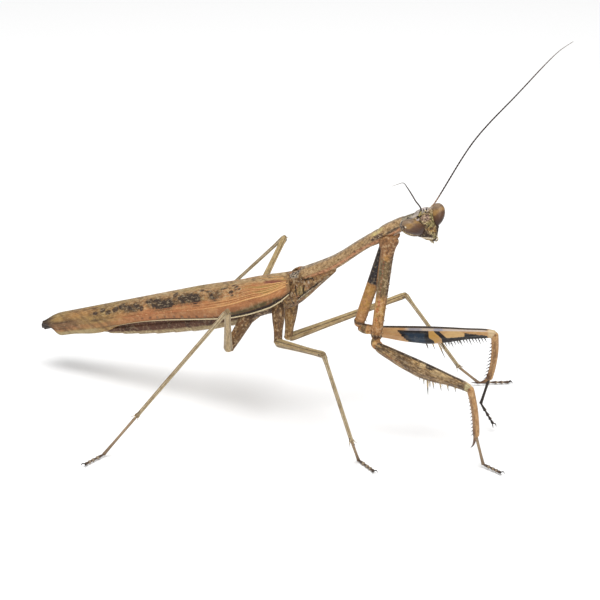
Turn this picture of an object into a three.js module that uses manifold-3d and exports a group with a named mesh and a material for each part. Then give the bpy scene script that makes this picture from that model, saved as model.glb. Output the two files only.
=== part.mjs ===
// A praying mantis: an adult male of a small brown species, life size, standing with forelegs reaching.
// Millimetres. +X points the way the animal faces, +Y is its left, +Z is up, and the floor is z = 0.
import * as THREE from "three";
import { mergeVertices } from "three/addons/utils/BufferGeometryUtils.js";
import Module from "manifold-3d";

const wasm = await Module();
wasm.setup();

const { sin, cos, abs, sign, PI } = Math;
const RAD = PI / 180;
const UP = new THREE.Vector3(0, 0, 1);
const FORWARD = new THREE.Vector3(1, 0, 0);
const SIDES = { right: -1, left: 1 };

// ---- driving dimensions ----
const GAP = 0.05; // clearance between neighbouring nodes
const SHEET = 0.5; // thickness of a wing in the solids
const FEELER_RADII = [0.27, 0.25]; // a feeler at its root and at its tip
const TOE_RADIUS = 0.25;
const FLOOR_DEPTH = 5; // depth of the block that flattens the feet

const LEG_LENGTHS = {
  fore: { coxa: 10.46, trochanter: 1.21, femur: 13.03, tibia: 5.88, basitarsus: 2.88, toes: 2.54 },
  mid: { coxa: 3.97, femur: 14.27, tibia: 9.68, basitarsus: 2.92, toes: 3.35 },
  hind: { coxa: 4.35, femur: 14.81, tibia: 14.76, basitarsus: 4.99, toes: 3.06 },
};

// Where each leg leaves the body, and the heading and climb of each of its parts, in degrees.
const POSE = {
  fore_right: {
    hip: [9.97, -1.03, 20.38],
    coxa: [175.1, -82.3],
    trochanter: [-63.2, -18],
    femur: [-18.3, -4.3],
    tibia: [82.4, -75.2],
    basitarsus: [-26.2, -65.6],
    toes: [-22.2, -3.4],
  },
  fore_left: {
    hip: [9, 1.1, 20.5],
    coxa: [-170.8, -72],
    trochanter: [9.7, -20],
    femur: [12.5, 3.9],
    tibia: [126, -73.6],
    basitarsus: [-172.4, -73.7],
    toes: [-18.1, -46],
  },
  mid_right: {
    hip: [-2.6, -1.15, 11.75],
    coxa: [-62.6, -55.7],
    femur: [-42.6, 14.1],
    tibia: [31.6, -73],
    basitarsus: [90, -59],
    toes: [-35.9, -0.5],
  },
  mid_left: {
    hip: [-2.3, 1.18, 11.35],
    coxa: [165, -83],
    femur: [55.5, 10.2],
    tibia: [15.4, -52.8],
    basitarsus: [36.9, -41],
    toes: [35.9, -2.5],
  },
  hind_right: {
    hip: [-5.9, -1.3, 10.4],
    coxa: [-131.2, -56.2],
    femur: [-60.7, 34.7],
    tibia: [-155.4, -51],
    basitarsus: [-127, -44],
    toes: [-95.5, -1.6],
  },
  hind_left: {
    hip: [-5.9, 1.3, 10.4],
    coxa: [160, -42],
    femur: [98.8, 22.7],
    tibia: [-177.7, -45],
    basitarsus: [176.4, -30],
    toes: [164.1, -1.5],
  },
};

// The hind body's straight axis: it starts at the wing roots and slopes down to the tail.
const WING_ROOT = new THREE.Vector3(-1.5, 0, 14.1);
const BODY_SLOPE = 18.2 * RAD;
const ABDOMEN_START = 6.2; // this and the next four: how far behind the wing roots
const ABDOMEN_END = 25.5;
const TEGMEN_LENGTH = 32.2;
const HINDWING_START = 25;
const HINDWING_END = 32.5;

// The head: its centre, how far it is turned, raised and rolled in degrees, and its sizes.
const HEAD_CENTRE = new THREE.Vector3(13.66, -0.5, 23);
const HEAD_TURN = -31;
const HEAD_RAISE = 17;
const HEAD_ROLL = 15;
const EYE_OUT = -0.04; // an eye's centre: out of the face, from the mid-plane, and up
const EYE_APART = 1.48;
const EYE_RISE = 0.12;
const EYE_RADII = [1.3, 0.72, 1.22];
const EYE_TILT = 45;
const RIM = 0.06; // how much the rim of the cheek is larger than the eye
const RIM_SHIFT = 0.18; // how far it lies behind the eye

// ---- materials ----
function finish(colour, roughness = 0.55) {
  return new THREE.MeshStandardMaterial({ color: colour, roughness, metalness: 0 });
}

const COLOURS = {
  head: 0x9a8560,
  eye: 0x8a6a4c,
  antenna: 0x3a2c26,
  mouth: 0x8d6f4b,
  pronotum: 0xa98a5c,
  thorax: 0x8a6b47,
  abdomen: 0x7d4a33,
  cercus: 0x8a6a48,
  tegmen: 0xb07a4e,
  hindwing: 0x3a2b22,
  coxa: 0xb08450,
  fore_femur: 0x8d7048,
  fore_tibia: 0xb58a56,
  walking_leg: 0xb39a68,
  tarsus: 0x5a4434,
};

// ---- shape helpers ----
function between(t, from, to) {
  return from + (to - from) * t;
}

// Rises from 0 to 1 as t does, gently at both ends, and stays level outside them.
function smooth(t) {
  const s = Math.min(1, Math.max(0, t));
  return s * s * (3 - 2 * s);
}

// A three.js geometry as a closed solid.
function solid(geometry) {
  geometry.deleteAttribute("normal");
  geometry.deleteAttribute("uv");
  const merged = mergeVertices(geometry, 1e-5);
  return new wasm.Manifold(
    new wasm.Mesh({
      numProp: 3,
      vertProperties: new Float32Array(merged.attributes.position.array),
      triVerts: new Uint32Array(merged.index.array),
    }),
  );
}

function join(solids) {
  return solids.reduce((all, next) => all.add(next));
}

// The largest of a solid's separate bodies.
function biggest(body) {
  return body.decompose().reduce((a, b) => (a.volume() > b.volume() ? a : b));
}

// A closed tube along a curve, with rings of [share of its length, half width, half height, rise].
// The half height lies in the plane of the curve and of "up".
function loft(curve, rings, { up = UP, sides = 10, grow = 0 } = {}) {
  const tube = new THREE.CylinderGeometry(1, 1, 1, sides, rings.length - 1);
  const place = tube.attributes.position;
  for (let i = 0; i < place.count; i += 1) {
    const ring = rings[Math.round((0.5 - place.getY(i)) * (rings.length - 1))];
    const [share, width, height, rise = 0] = ring;
    const along = curve.getTangentAt(share);
    const across = new THREE.Vector3().crossVectors(up, along).normalize();
    const above = new THREE.Vector3().crossVectors(along, across);
    const point = curve.getPointAt(share);
    point.addScaledVector(along, (share < 0.5 ? -grow : grow) * (share === 0 || share === 1));
    point.addScaledVector(across, place.getX(i) * (width + grow));
    point.addScaledVector(above, place.getZ(i) * (height + grow) + rise);
    place.setXYZ(i, point.x, point.y, point.z);
  }
  return solid(tube);
}

function straight(from, to) {
  return new THREE.LineCurve3(from, to);
}

function bent(points) {
  return new THREE.CatmullRomCurve3(points);
}

// An ellipsoid with the given radii, placed by a matrix.
function ellipsoid(radii, matrix, detail = [14, 10]) {
  const ball = new THREE.SphereGeometry(1, ...detail);
  ball.scale(...radii);
  ball.applyMatrix4(matrix);
  return solid(ball);
}

// A spine from a root point towards a tip.
function spine(root, tip, radius) {
  const length = root.distanceTo(tip);
  const cone = new THREE.ConeGeometry(radius, length, 4, 1);
  cone.translate(0, length / 2, 0);
  const turn = new THREE.Quaternion().setFromUnitVectors(
    new THREE.Vector3(0, 1, 0),
    tip.clone().sub(root).normalize(),
  );
  cone.applyQuaternion(turn);
  cone.translate(root.x, root.y, root.z);
  return solid(cone);
}

function aim(heading, climb) {
  const flat = cos(climb * RAD);
  return new THREE.Vector3(cos(heading * RAD) * flat, sin(heading * RAD) * flat, sin(climb * RAD));
}

// ---- skeleton ----
// The joints of a leg, from the hip to the last claw, and the direction of each part.
function legBones(kind, side) {
  const pose = POSE[`${kind}_${side}`];
  const bones = {};
  let from = new THREE.Vector3(...pose.hip);
  for (const [part, length] of Object.entries(LEG_LENGTHS[kind])) {
    const along = aim(...pose[part]);
    const to = from.clone().addScaledVector(along, length);
    bones[part] = { from, to, along, length };
    from = to;
  }
  return bones;
}

const BONES = {};
for (const kind of Object.keys(LEG_LENGTHS)) {
  for (const side of Object.keys(SIDES)) BONES[`${kind}_${side}`] = legBones(kind, side);
}

// A point of the hind body: how far behind the wing roots, how far left, and how far above the axis.
function bodyPoint(behind, left, above) {
  return new THREE.Vector3(
    WING_ROOT.x - behind * cos(BODY_SLOPE) - above * sin(BODY_SLOPE),
    left,
    WING_ROOT.z - behind * sin(BODY_SLOPE) + above * cos(BODY_SLOPE),
  );
}

// The head's own frame: x out of the face, y to the left eye, z to the crown.
const HEAD = new THREE.Matrix4().compose(
  HEAD_CENTRE,
  new THREE.Quaternion().setFromEuler(
    new THREE.Euler(HEAD_ROLL * RAD, -HEAD_RAISE * RAD, HEAD_TURN * RAD, "ZYX"),
  ),
  new THREE.Vector3(1, 1, 1),
);

function headPoint(x, y, z) {
  return new THREE.Vector3(x, y, z).applyMatrix4(HEAD);
}

// ---- head ----
// The head capsule: a rounded triangle seen from the front, flat from front to back.
function headCapsule(grow = 0) {
  const rows = [
    // height, half width, front, back
    [1.42, 0.7, 0.25, -0.35],
    [1.18, 1.12, 0.5, -0.65],
    [0.6, 1.7, 0.7, -0.9],
    [0, 1.75, 0.8, -0.95],
    [-0.6, 1.48, 0.82, -0.85],
    [-1.2, 1.02, 0.92, -0.6],
    [-1.62, 0.65, 0.9, -0.3],
    [-1.85, 0.4, 0.8, 0.1],
  ];
  const tube = new THREE.CylinderGeometry(1, 1, 1, 12, rows.length - 1);
  const place = tube.attributes.position;
  for (let i = 0; i < place.count; i += 1) {
    const [height, half, front, back] = rows[Math.round((0.5 - place.getY(i)) * (rows.length - 1))];
    const x = place.getX(i);
    const middle = (front + back) / 2;
    const depth = (front - back) / 2;
    const end = sign(place.getY(i)) * grow * (abs(place.getY(i)) === 0.5);
    const point = headPoint(middle + x * (depth + grow), -place.getZ(i) * (half + grow), height + end);
    place.setXYZ(i, point.x, point.y, point.z);
  }
  return solid(tube);
}

// An egg the size of an eye: grown by a margin, and shifted back, inwards and down.
function eyeBall(side, grow = 0, shift = 0) {
  const y = SIDES[side];
  const lean = new THREE.Matrix4().makeRotationX(-y * EYE_TILT * RAD);
  lean.setPosition(EYE_OUT - shift, y * (EYE_APART - 0.2 * shift), EYE_RISE - 0.5 * shift);
  return ellipsoid(
    EYE_RADII.map((radius) => radius + grow),
    HEAD.clone().multiply(lean),
    shift ? [8, 6] : [12, 8],
  );
}

// The capsule with the rim of cheek that shows behind and below each eye.
function makeHead() {
  const rims = Object.keys(SIDES).map((side) => eyeBall(side, RIM, RIM_SHIFT));
  const eyes = Object.keys(SIDES).map((side) => eyeBall(side, GAP));
  return biggest(join([headCapsule(), ...rims]).subtract(join(eyes)));
}

function makePalp(y) {
  const curve = bent([
    headPoint(0.3, y * 0.35, -1.6),
    headPoint(0.6, y * 0.45, -1.85),
    headPoint(0.75, y * 0.22, -2.15),
  ]);
  const rings = [
    [0, 0.2, 0.2],
    [0.5, 0.22, 0.22],
    [1, 0.12, 0.12],
  ];
  return loft(curve, rings, { sides: 5, up: FORWARD });
}

// The labrum and jaws, with the short palps that hang beside them.
function makeMouthparts() {
  const jaws = loft(
    straight(headPoint(0.45, 0, -1.5), headPoint(0.5, 0.05, -2.2)),
    [
      [0, 0.45, 0.38],
      [0.55, 0.4, 0.34],
      [0.85, 0.3, 0.28],
      [1, 0.12, 0.12],
    ],
    { up: FORWARD },
  );
  const palps = Object.values(SIDES).map(makePalp);
  return biggest(join([jaws, ...palps]).subtract(headCapsule(GAP)));
}

// Feelers: their sockets on the face, then the points that the thread sweeps through.
const ANTENNAE = {
  right: [
    [13.7, -1.3, 24.4],
    [14.1, -3.6, 26.2],
    [16, -9.5, 29.5],
    [17.8, -13.9, 31.3],
    [19, -18.8, 32.4],
  ],
  left: [
    [14.1, 0.1, 24.4],
    [17.25, 2.65, 31.1],
    [21.2, 4.2, 36.1],
    [25, 5.5, 40.5],
    [26.5, 5.6, 41.7],
  ],
};

function makeAntenna(side) {
  const curve = bent(ANTENNAE[side].map((p) => new THREE.Vector3(...p)));
  const rings = [];
  const steps = 12;
  for (let i = 0; i <= steps; i += 1) {
    const radius = between(i / steps, ...FEELER_RADII);
    rings.push([i / steps, radius, radius]);
  }
  const thread = loft(curve, rings, { sides: 6, up: FORWARD });
  return biggest(thread.subtract(headCapsule(GAP)).subtract(eyeBall(side, GAP)));
}

// ---- trunk ----
const PRONOTUM_CURVE = [
  [-0.2, 15.25],
  [3.3, 17.05],
  [6.7, 19.55],
  [9.1, 21.13],
  [11.5, 22.75],
];

function pronotumTube(grow = 0) {
  const curve = bent(PRONOTUM_CURVE.map(([x, z]) => new THREE.Vector3(x, 0, z)));
  const rings = [
    [0, 0.75, 0.5],
    [0.03, 1.05, 0.72],
    [0.2, 0.95, 0.7],
    [0.45, 0.8, 0.6],
    [0.62, 0.9, 0.58],
    [0.72, 1.3, 0.7],
    [0.8, 1.38, 0.74],
    [0.9, 1.15, 0.72],
    [0.97, 0.95, 0.62],
    [1, 0.6, 0.4],
  ];
  return loft(curve, rings, { sides: 12, grow });
}

// The soft neck, from inside the front of the pronotum to the back of the head.
function makeNeck() {
  const neck = loft(
    straight(new THREE.Vector3(11, 0, 22.1), headPoint(-0.5, 0, 0.1)),
    [
      [0, 0.6, 0.5],
      [0.5, 0.72, 0.6],
      [1, 0.7, 0.6],
    ],
  );
  const eyes = Object.keys(SIDES).map((side) => eyeBall(side, GAP));
  const rims = Object.keys(SIDES).map((side) => eyeBall(side, RIM + GAP, RIM_SHIFT));
  return biggest(neck.subtract(pronotumTube(GAP)).subtract(join([headCapsule(GAP), ...eyes, ...rims])));
}

// The second and third parts of the thorax, which carry the wings and the walking legs.
function thoraxTube(grow = 0) {
  const curve = bent([
    new THREE.Vector3(3.4, 0, 16.35),
    new THREE.Vector3(1.2, 0, 14.95),
    bodyPoint(0.5, 0, -0.75),
    bodyPoint(4, 0, -1),
    bodyPoint(8, 0, -1.4),
  ]);
  const rings = [
    [0, 0.4, 0.25],
    [0.06, 0.65, 0.42],
    [0.2, 1.05, 0.85],
    [0.33, 1.4, 1.3],
    [0.45, 1.6, 1.65],
    [0.65, 1.65, 1.8],
    [0.85, 1.6, 1.75],
    [1, 1.4, 1.4],
  ];
  return loft(curve, rings, { sides: 12, grow });
}

function makeThorax() {
  return biggest(thoraxTube().subtract(pronotumTube(GAP)).subtract(bothTegmenCuts()));
}

// The abdomen: plump in front, tapering to the tail, with its lower side flatter than the upper.
function abdomenTube(grow = 0) {
  const rings = [
    [0, 1.3, 1.2, -1.35],
    [0.04, 1.5, 1.45, -1.4],
    [0.2, 1.55, 1.45, -1.5],
    [0.5, 1.46, 1.4, -1.17],
    [0.75, 1.3, 1.15, -0.9],
    [0.9, 1.1, 0.75, -0.7],
    [0.98, 0.6, 0.45, -0.7],
    [1, 0.3, 0.25, -0.7],
  ];
  const curve = straight(bodyPoint(ABDOMEN_END, 0, -0.35), bodyPoint(ABDOMEN_START, 0, -0.35));
  const fromTail = rings.map(([share, ...sizes]) => [1 - share, ...sizes]).reverse();
  return loft(curve, fromTail, { sides: 12, grow });
}

function makeAbdomen() {
  return biggest(abdomenTube().subtract(thoraxTube(GAP)).subtract(bothTegmenCuts()));
}

// One of the two short tails.
function cercusTube(side, grow = 0) {
  const y = SIDES[side];
  const root = bodyPoint(ABDOMEN_END - 1.2, y * 0.5, -0.65);
  const tip = bodyPoint(ABDOMEN_END + 1.6, y * 0.9, -0.7);
  const rings = [
    [0, 0.26, 0.26],
    [0.5, 0.3, 0.3],
    [1, 0.25, 0.25],
  ];
  return loft(straight(root, tip), rings, { sides: 6, grow });
}

function makeCercus(side) {
  return biggest(cercusTube(side).subtract(abdomenTube(GAP)));
}

// ---- wings ----
// Half width and height of the roof that the folded wings make, by share of their length.
function roof(share) {
  const width = between(smooth((share - 0.1) / 0.9), 2.15, 1.3) - 0.35 * smooth((0.12 - share) / 0.12);
  const height = between(share, 2.6, 1.45);
  return { width, height };
}

// A point of a folded fore wing: its share of the length, and its share across from the costal edge.
// The left wing dips under the right one where they overlap on the back.
function tegmenPoint(side, share, across) {
  const y = SIDES[side];
  const open = smooth(share / 0.16);
  const close = smooth((share - 0.93) / 0.07);
  const low = between(smooth(share / 0.11), 12, -21) + 9 * smooth((share - 0.2) / 0.3) + close * 30;
  const high = between(open, 75, 112) - close * 40;
  const angle = between(across, low, high) * RAD;
  const { width, height } = roof(share);
  const under = side === "left" ? 0.68 * smooth((across - 0.3) / 0.25) * smooth(share / 0.05) : 0;
  const bulge = 0.82;
  const left = y * (width - under) * sign(cos(angle)) * abs(cos(angle)) ** bulge;
  const above = (height - under) * sign(sin(angle)) * abs(sin(angle)) ** bulge - 1.35 + share;
  return bodyPoint(share * TEGMEN_LENGTH - 0.6, left, above);
}

// A wing sheet of even thickness on a surface given by a function of two shares, less a margin all round.
function sheet(surface, thickness, [lengthwise, crosswise], margin = 0.002) {
  const box = new THREE.BoxGeometry(1, 1, 1, lengthwise, crosswise, 1);
  const place = box.attributes.position;
  const step = 0.002;
  for (let i = 0; i < place.count; i += 1) {
    const u = margin + (1 - 2 * margin) * (place.getX(i) + 0.5);
    const v = margin + (1 - 2 * margin) * (place.getY(i) + 0.5);
    const point = surface(u, v);
    const alongU = surface(u + step, v).sub(surface(u - step, v));
    const alongV = surface(u, v + step).sub(surface(u, v - step));
    const out = alongU.cross(alongV).normalize();
    point.addScaledVector(out, place.getZ(i) * thickness);
    place.setXYZ(i, point.x, point.y, point.z);
  }
  const made = solid(box);
  return made.volume() < 0 ? solid(flipped(box)) : made;
}

// The same geometry with each face turned round: the sheets of one side come out facing inwards.
function flipped(geometry) {
  const index = geometry.index.array;
  for (let i = 0; i < index.length; i += 3) {
    [index[i + 1], index[i + 2]] = [index[i + 2], index[i + 1]];
  }
  return geometry;
}

function tegmenSheet(side, thickness, margin) {
  return sheet((u, v) => tegmenPoint(side, u, v), thickness, [14, 6], margin);
}

// A thicker and slightly wider wing, which leaves a gap around the wing where it is cut away.
function tegmenCut(side) {
  return tegmenSheet(side, SHEET + 2 * GAP, -0.01);
}

function bothTegmenCuts() {
  return join(Object.keys(SIDES).map(tegmenCut));
}

function makeTegmen(side) {
  return biggest(tegmenSheet(side, SHEET).subtract(pronotumTube(GAP)));
}

// The folded hind wing: a pleated tongue under the fore wings that ends behind them.
function makeHindwing(side) {
  const y = SIDES[side];
  const height = side === "left" ? -1.15 : -0.87;
  const surface = (u, v) => {
    const behind = between(u, HINDWING_START, HINDWING_END);
    const taper = between(smooth((u - 0.5) / 0.5), 1, 0.35);
    const left = y * between(v, 0.04, 0.95 * taper);
    const share = behind / TEGMEN_LENGTH;
    return bodyPoint(behind, left, height + share + 0.2 * taper - 0.25 * v * v);
  };
  const around = [abdomenTube(GAP), cercusTube(side, GAP), bothTegmenCuts()];
  return biggest(sheet(surface, SHEET, [6, 3]).subtract(join(around)));
}

// ---- legs ----
const FLOOR = (() => {
  const block = new THREE.BoxGeometry(120, 120, FLOOR_DEPTH);
  block.translate(0, 0, -FLOOR_DEPTH / 2);
  return solid(block);
})();

const COXA_RINGS = {
  fore: [
    [0, 0.4, 0.65, 0.3],
    [0.06, 0.62, 0.98, 0.14],
    [0.12, 0.68, 1.02],
    [0.2, 0.62, 0.75],
    [0.35, 0.56, 0.65],
    [0.65, 0.52, 0.58],
    [0.93, 0.5, 0.55],
    [1, 0.4, 0.42],
  ],
  mid: [
    [0, 0.55, 0.5],
    [0.15, 0.62, 0.6],
    [0.6, 0.54, 0.5],
    [0.95, 0.48, 0.46],
    [1, 0.3, 0.3],
  ],
  hind: [
    [0, 0.5, 0.5],
    [0.15, 0.65, 0.65],
    [0.6, 0.58, 0.56],
    [0.95, 0.5, 0.5],
    [1, 0.3, 0.3],
  ],
};

function extended(bone, before, after) {
  return straight(
    bone.from.clone().addScaledVector(bone.along, -before),
    bone.to.clone().addScaledVector(bone.along, after),
  );
}

function coxaTube(kind, side, grow = 0) {
  const [before, sides] = kind === "fore" ? [0.9, 10] : [0.6, 8];
  const curve = extended(BONES[`${kind}_${side}`].coxa, before, 0.25);
  return loft(curve, COXA_RINGS[kind], { up: FORWARD, sides, grow });
}

function makeCoxa(kind, side) {
  const cut = kind === "fore" ? pronotumTube(GAP) : thoraxTube(GAP);
  let coxa = coxaTube(kind, side).subtract(cut);
  if (kind === "hind") {
    const around = [coxaTube("mid", side, GAP), abdomenTube(GAP), tegmenCut(side)];
    coxa = coxa.subtract(join(around));
  }
  if (kind === "fore" && side === "left") {
    coxa = coxa.subtract(coxaTube("fore", "right", GAP));
  }
  return biggest(coxa);
}

// The short joint piece between a raptorial coxa and its femur.
function trochanterTube(side, grow = 0) {
  const { trochanter, femur } = BONES[`fore_${side}`];
  const curve = bent([
    trochanter.from.clone().addScaledVector(UP, -0.1),
    trochanter.from.clone().lerp(trochanter.to, 0.6).addScaledVector(UP, -0.12),
    trochanter.to.clone().addScaledVector(femur.along, 0.5),
  ]);
  const rings = [
    [0, 0.3, 0.3],
    [0.15, 0.46, 0.46],
    [0.5, 0.52, 0.52],
    [0.85, 0.5, 0.48],
    [1, 0.35, 0.35],
  ];
  return loft(curve, rings, { sides: 8, grow });
}

function makeTrochanter(side) {
  return biggest(trochanterTube(side).subtract(coxaTube("fore", side, GAP)));
}

// The deep raptorial femur. Its back is nearly straight and its spined edge bellies out.
const FORE_FEMUR_RINGS = [
  // share, half width, half height, rise
  [0, 0.32, 0.4, -0.1],
  [0.04, 0.42, 0.55, -0.15],
  [0.15, 0.5, 0.72, -0.27],
  [0.3, 0.55, 0.92, -0.43],
  [0.45, 0.56, 1, -0.48],
  [0.6, 0.52, 0.88, -0.38],
  [0.78, 0.44, 0.6, -0.18],
  [0.92, 0.4, 0.48, -0.1],
  [1, 0.26, 0.32, -0.1],
];

// The direction away from the spined edge of a raptorial femur.
function femurBack(side) {
  const { femur, tibia } = BONES[`fore_${side}`];
  const away = tibia.along.clone().negate();
  return away.addScaledVector(femur.along, tibia.along.dot(femur.along)).normalize();
}

function foreFemurTube(side, grow = 0) {
  const curve = extended(BONES[`fore_${side}`].femur, 0, 0.3);
  return loft(curve, FORE_FEMUR_RINGS, { up: femurBack(side), grow });
}

// The spined edge of the femur, below its middle line, at a share of its length.
function femurEdge(share) {
  const after = FORE_FEMUR_RINGS.findIndex(([at]) => at >= share);
  const [a, , h0, r0] = FORE_FEMUR_RINGS[after - 1];
  const [b, , h1, r1] = FORE_FEMUR_RINGS[after];
  const t = (share - a) / (b - a);
  return between(t, h0, h1) - between(t, r0, r1);
}

// Spines of the raptorial femur: [share of the length, height, lean towards the knee, side of the edge].
function femurSpines() {
  const spines = [];
  for (let i = 0; i < 8; i += 1) {
    spines.push([0.52 + i * 0.055, i % 2 ? 0.45 : 0.7, 0.25, 1]);
  }
  for (let i = 0; i < 4; i += 1) {
    spines.push([0.48 + i * 0.11, 0.8, 0.35, -1]);
  }
  spines.push([0.42, 1, 0.3, 0.3], [0.5, 2, 0.5, 0]);
  return spines;
}

function makeForeFemur(side) {
  const { femur } = BONES[`fore_${side}`];
  const back = femurBack(side);
  const inner = new THREE.Vector3().crossVectors(back, femur.along).multiplyScalar(-SIDES[side]);
  inner.multiplyScalar(sign(-SIDES[side] * inner.y));
  const parts = [foreFemurTube(side)];
  for (const [share, height, lean, edge] of femurSpines()) {
    const root = femur.from.clone().addScaledVector(femur.along, femur.length * share);
    root.addScaledVector(back, -(femurEdge(share) - 0.22)).addScaledVector(inner, edge * 0.22);
    const tip = root.clone().addScaledVector(back, -height - 0.2).addScaledVector(femur.along, lean);
    tip.addScaledVector(inner, edge * 0.15);
    parts.push(spine(root, tip, 0.17));
  }
  return biggest(join(parts).subtract(trochanterTube(side, GAP)));
}

function foreTibiaTube(side, grow = 0) {
  const { femur } = BONES[`fore_${side}`];
  const rings = [
    [0, 0.25, 0.25, 0.1],
    [0.06, 0.34, 0.38, 0.15],
    [0.3, 0.32, 0.38, 0.2],
    [0.7, 0.32, 0.34, 0.15],
    [0.93, 0.32, 0.34, 0.05],
    [1, 0.24, 0.26],
  ];
  return loft(extended(BONES[`fore_${side}`].tibia, 0.1, 0.1), rings, { up: femur.along, grow });
}

// The direction away from the spined edge of a raptorial tibia.
function tibiaFront(side) {
  const { femur, tibia } = BONES[`fore_${side}`];
  const away = femur.along.clone();
  return away.addScaledVector(tibia.along, -femur.along.dot(tibia.along)).normalize();
}

// The hooked claw at the end of a raptorial tibia.
function clawTube(side, grow = 0) {
  const { tibia } = BONES[`fore_${side}`];
  const front = tibiaFront(side);
  const sweep = [
    [-0.1, -0.3],
    [-0.36, 0.55],
    [-0.95, 1.4],
  ];
  const curve = bent(
    sweep.map(([ahead, below]) =>
      tibia.to.clone().addScaledVector(front, ahead).addScaledVector(tibia.along, below),
    ),
  );
  const rings = [
    [0, 0.26, 0.26],
    [0.5, 0.22, 0.22],
    [1, 0.08, 0.08],
  ];
  return loft(curve, rings, { up: front, sides: 6, grow });
}

// The raptorial tibia, with its comb of spines and its claw.
function makeForeTibia(side) {
  const { tibia } = BONES[`fore_${side}`];
  const front = tibiaFront(side);
  const parts = [foreTibiaTube(side)];
  for (let i = 0; i < 7; i += 1) {
    const share = 0.25 + i * 0.1;
    const root = tibia.from.clone().addScaledVector(tibia.along, tibia.length * share);
    root.addScaledVector(front, -0.02);
    const tip = root.clone().addScaledVector(front, -0.5).addScaledVector(tibia.along, 0.3 + 0.02 * i);
    parts.push(spine(root, tip, 0.14));
  }
  parts.push(clawTube(side));
  return biggest(join(parts).subtract(foreFemurTube(side, GAP)));
}

const WALKING_FEMUR_RINGS = [
  [0, 0.36, 0.36],
  [0.03, 0.48, 0.46],
  [0.12, 0.46, 0.46],
  [0.4, 0.4, 0.38],
  [0.8, 0.33, 0.33],
  [0.95, 0.34, 0.36],
  [0.985, 0.32, 0.36],
  [1, 0.2, 0.22],
];

const WALKING_TIBIA_RINGS = [
  [0, 0.2, 0.2],
  [0.02, 0.29, 0.29],
  [0.2, 0.26, 0.26],
  [0.97, 0.26, 0.26],
  [1, 0.22, 0.22],
];

function walkingFemurTube(kind, side, grow = 0) {
  const curve = extended(BONES[`${kind}_${side}`].femur, 0, 0.2);
  return loft(curve, WALKING_FEMUR_RINGS, { sides: 8, grow });
}

function makeWalkingFemur(kind, side) {
  return biggest(walkingFemurTube(kind, side).subtract(coxaTube(kind, side, GAP)));
}

function walkingTibiaTube(kind, side, grow = 0) {
  const curve = extended(BONES[`${kind}_${side}`].tibia, 0.05, 0.05);
  return loft(curve, WALKING_TIBIA_RINGS, { up: FORWARD, sides: 8, grow });
}

function makeWalkingTibia(kind, side) {
  return biggest(walkingTibiaTube(kind, side).subtract(walkingFemurTube(kind, side, GAP)));
}

// The tibia of a leg, grown by the clearance that its foot keeps from it.
function shinCut(kind, side) {
  if (kind !== "fore") return walkingTibiaTube(kind, side, GAP);
  return foreTibiaTube(side, GAP).add(clawTube(side, GAP));
}

// A foot: the long first joint, four short ones and the claws, flattened where it stands on the floor.
function makeTarsus(kind, side) {
  const { basitarsus, toes } = BONES[`${kind}_${side}`];
  const firstRings = [
    [0, TOE_RADIUS, TOE_RADIUS],
    [1, TOE_RADIUS, TOE_RADIUS],
  ];
  const toeRings = [
    [0, TOE_RADIUS, TOE_RADIUS],
    [0.6, TOE_RADIUS * 1.08, TOE_RADIUS * 1.08],
    [1, TOE_RADIUS * 1.04, TOE_RADIUS],
  ];
  const first = loft(extended(basitarsus, -0.1, 0.1), firstRings, { sides: 6, up: FORWARD });
  const rest = loft(extended(toes, 0, 0.1), toeRings, { sides: 6 });
  return biggest(join([first, rest]).subtract(shinCut(kind, side)).subtract(FLOOR));
}

// ---- assembly ----
function meshOf(name, body, material) {
  const { numProp, vertProperties, triVerts } = body.getMesh();
  const points = new Float32Array((vertProperties.length / numProp) * 3);
  for (let i = 0; i < points.length / 3; i += 1) {
    points.set(vertProperties.subarray(i * numProp, i * numProp + 3), i * 3);
  }
  const geometry = new THREE.BufferGeometry();
  geometry.setAttribute("position", new THREE.BufferAttribute(points, 3));
  geometry.setIndex(new THREE.BufferAttribute(new Uint32Array(triVerts), 1));
  geometry.computeVertexNormals();
  const mesh = new THREE.Mesh(geometry, material);
  mesh.name = name;
  return mesh;
}

const mantis = new THREE.Group();
mantis.name = "praying_mantis";

function addNode(name, body, colour, roughness) {
  mantis.add(meshOf(name, body, finish(COLOURS[colour], roughness)));
}

function addTrunk() {
  addNode("head", makeHead(), "head");
  addNode("mouthparts", makeMouthparts(), "mouth");
  addNode("neck", makeNeck(), "pronotum");
  addNode("pronotum", pronotumTube(), "pronotum");
  addNode("thorax", makeThorax(), "thorax");
  addNode("abdomen", makeAbdomen(), "abdomen");
}

function addPairs(side) {
  addNode(`eye_${side}`, eyeBall(side), "eye", 0.3);
  addNode(`antenna_${side}`, makeAntenna(side), "antenna");
  addNode(`tegmen_${side}`, makeTegmen(side), "tegmen");
  addNode(`hindwing_${side}`, makeHindwing(side), "hindwing");
  addNode(`cercus_${side}`, makeCercus(side), "cercus");
}

function addForeleg(side) {
  addNode(`fore_coxa_${side}`, makeCoxa("fore", side), "coxa");
  addNode(`fore_trochanter_${side}`, makeTrochanter(side), "coxa");
  addNode(`fore_femur_${side}`, makeForeFemur(side), "fore_femur");
  addNode(`fore_tibia_${side}`, makeForeTibia(side), "fore_tibia");
  addNode(`fore_tarsus_${side}`, makeTarsus("fore", side), "tarsus");
}

function addWalkingLeg(kind, side) {
  addNode(`${kind}_coxa_${side}`, makeCoxa(kind, side), "thorax");
  addNode(`${kind}_femur_${side}`, makeWalkingFemur(kind, side), "walking_leg");
  addNode(`${kind}_tibia_${side}`, makeWalkingTibia(kind, side), "walking_leg");
  addNode(`${kind}_tarsus_${side}`, makeTarsus(kind, side), "tarsus");
}

// Puts the bottom centre of the whole animal's box at the origin.
function centreOnFloor() {
  const box = new THREE.Box3().setFromObject(mantis);
  const middle = box.getCenter(new THREE.Vector3());
  for (const mesh of mantis.children) mesh.geometry.translate(-middle.x, -middle.y, -box.min.z);
}

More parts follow.
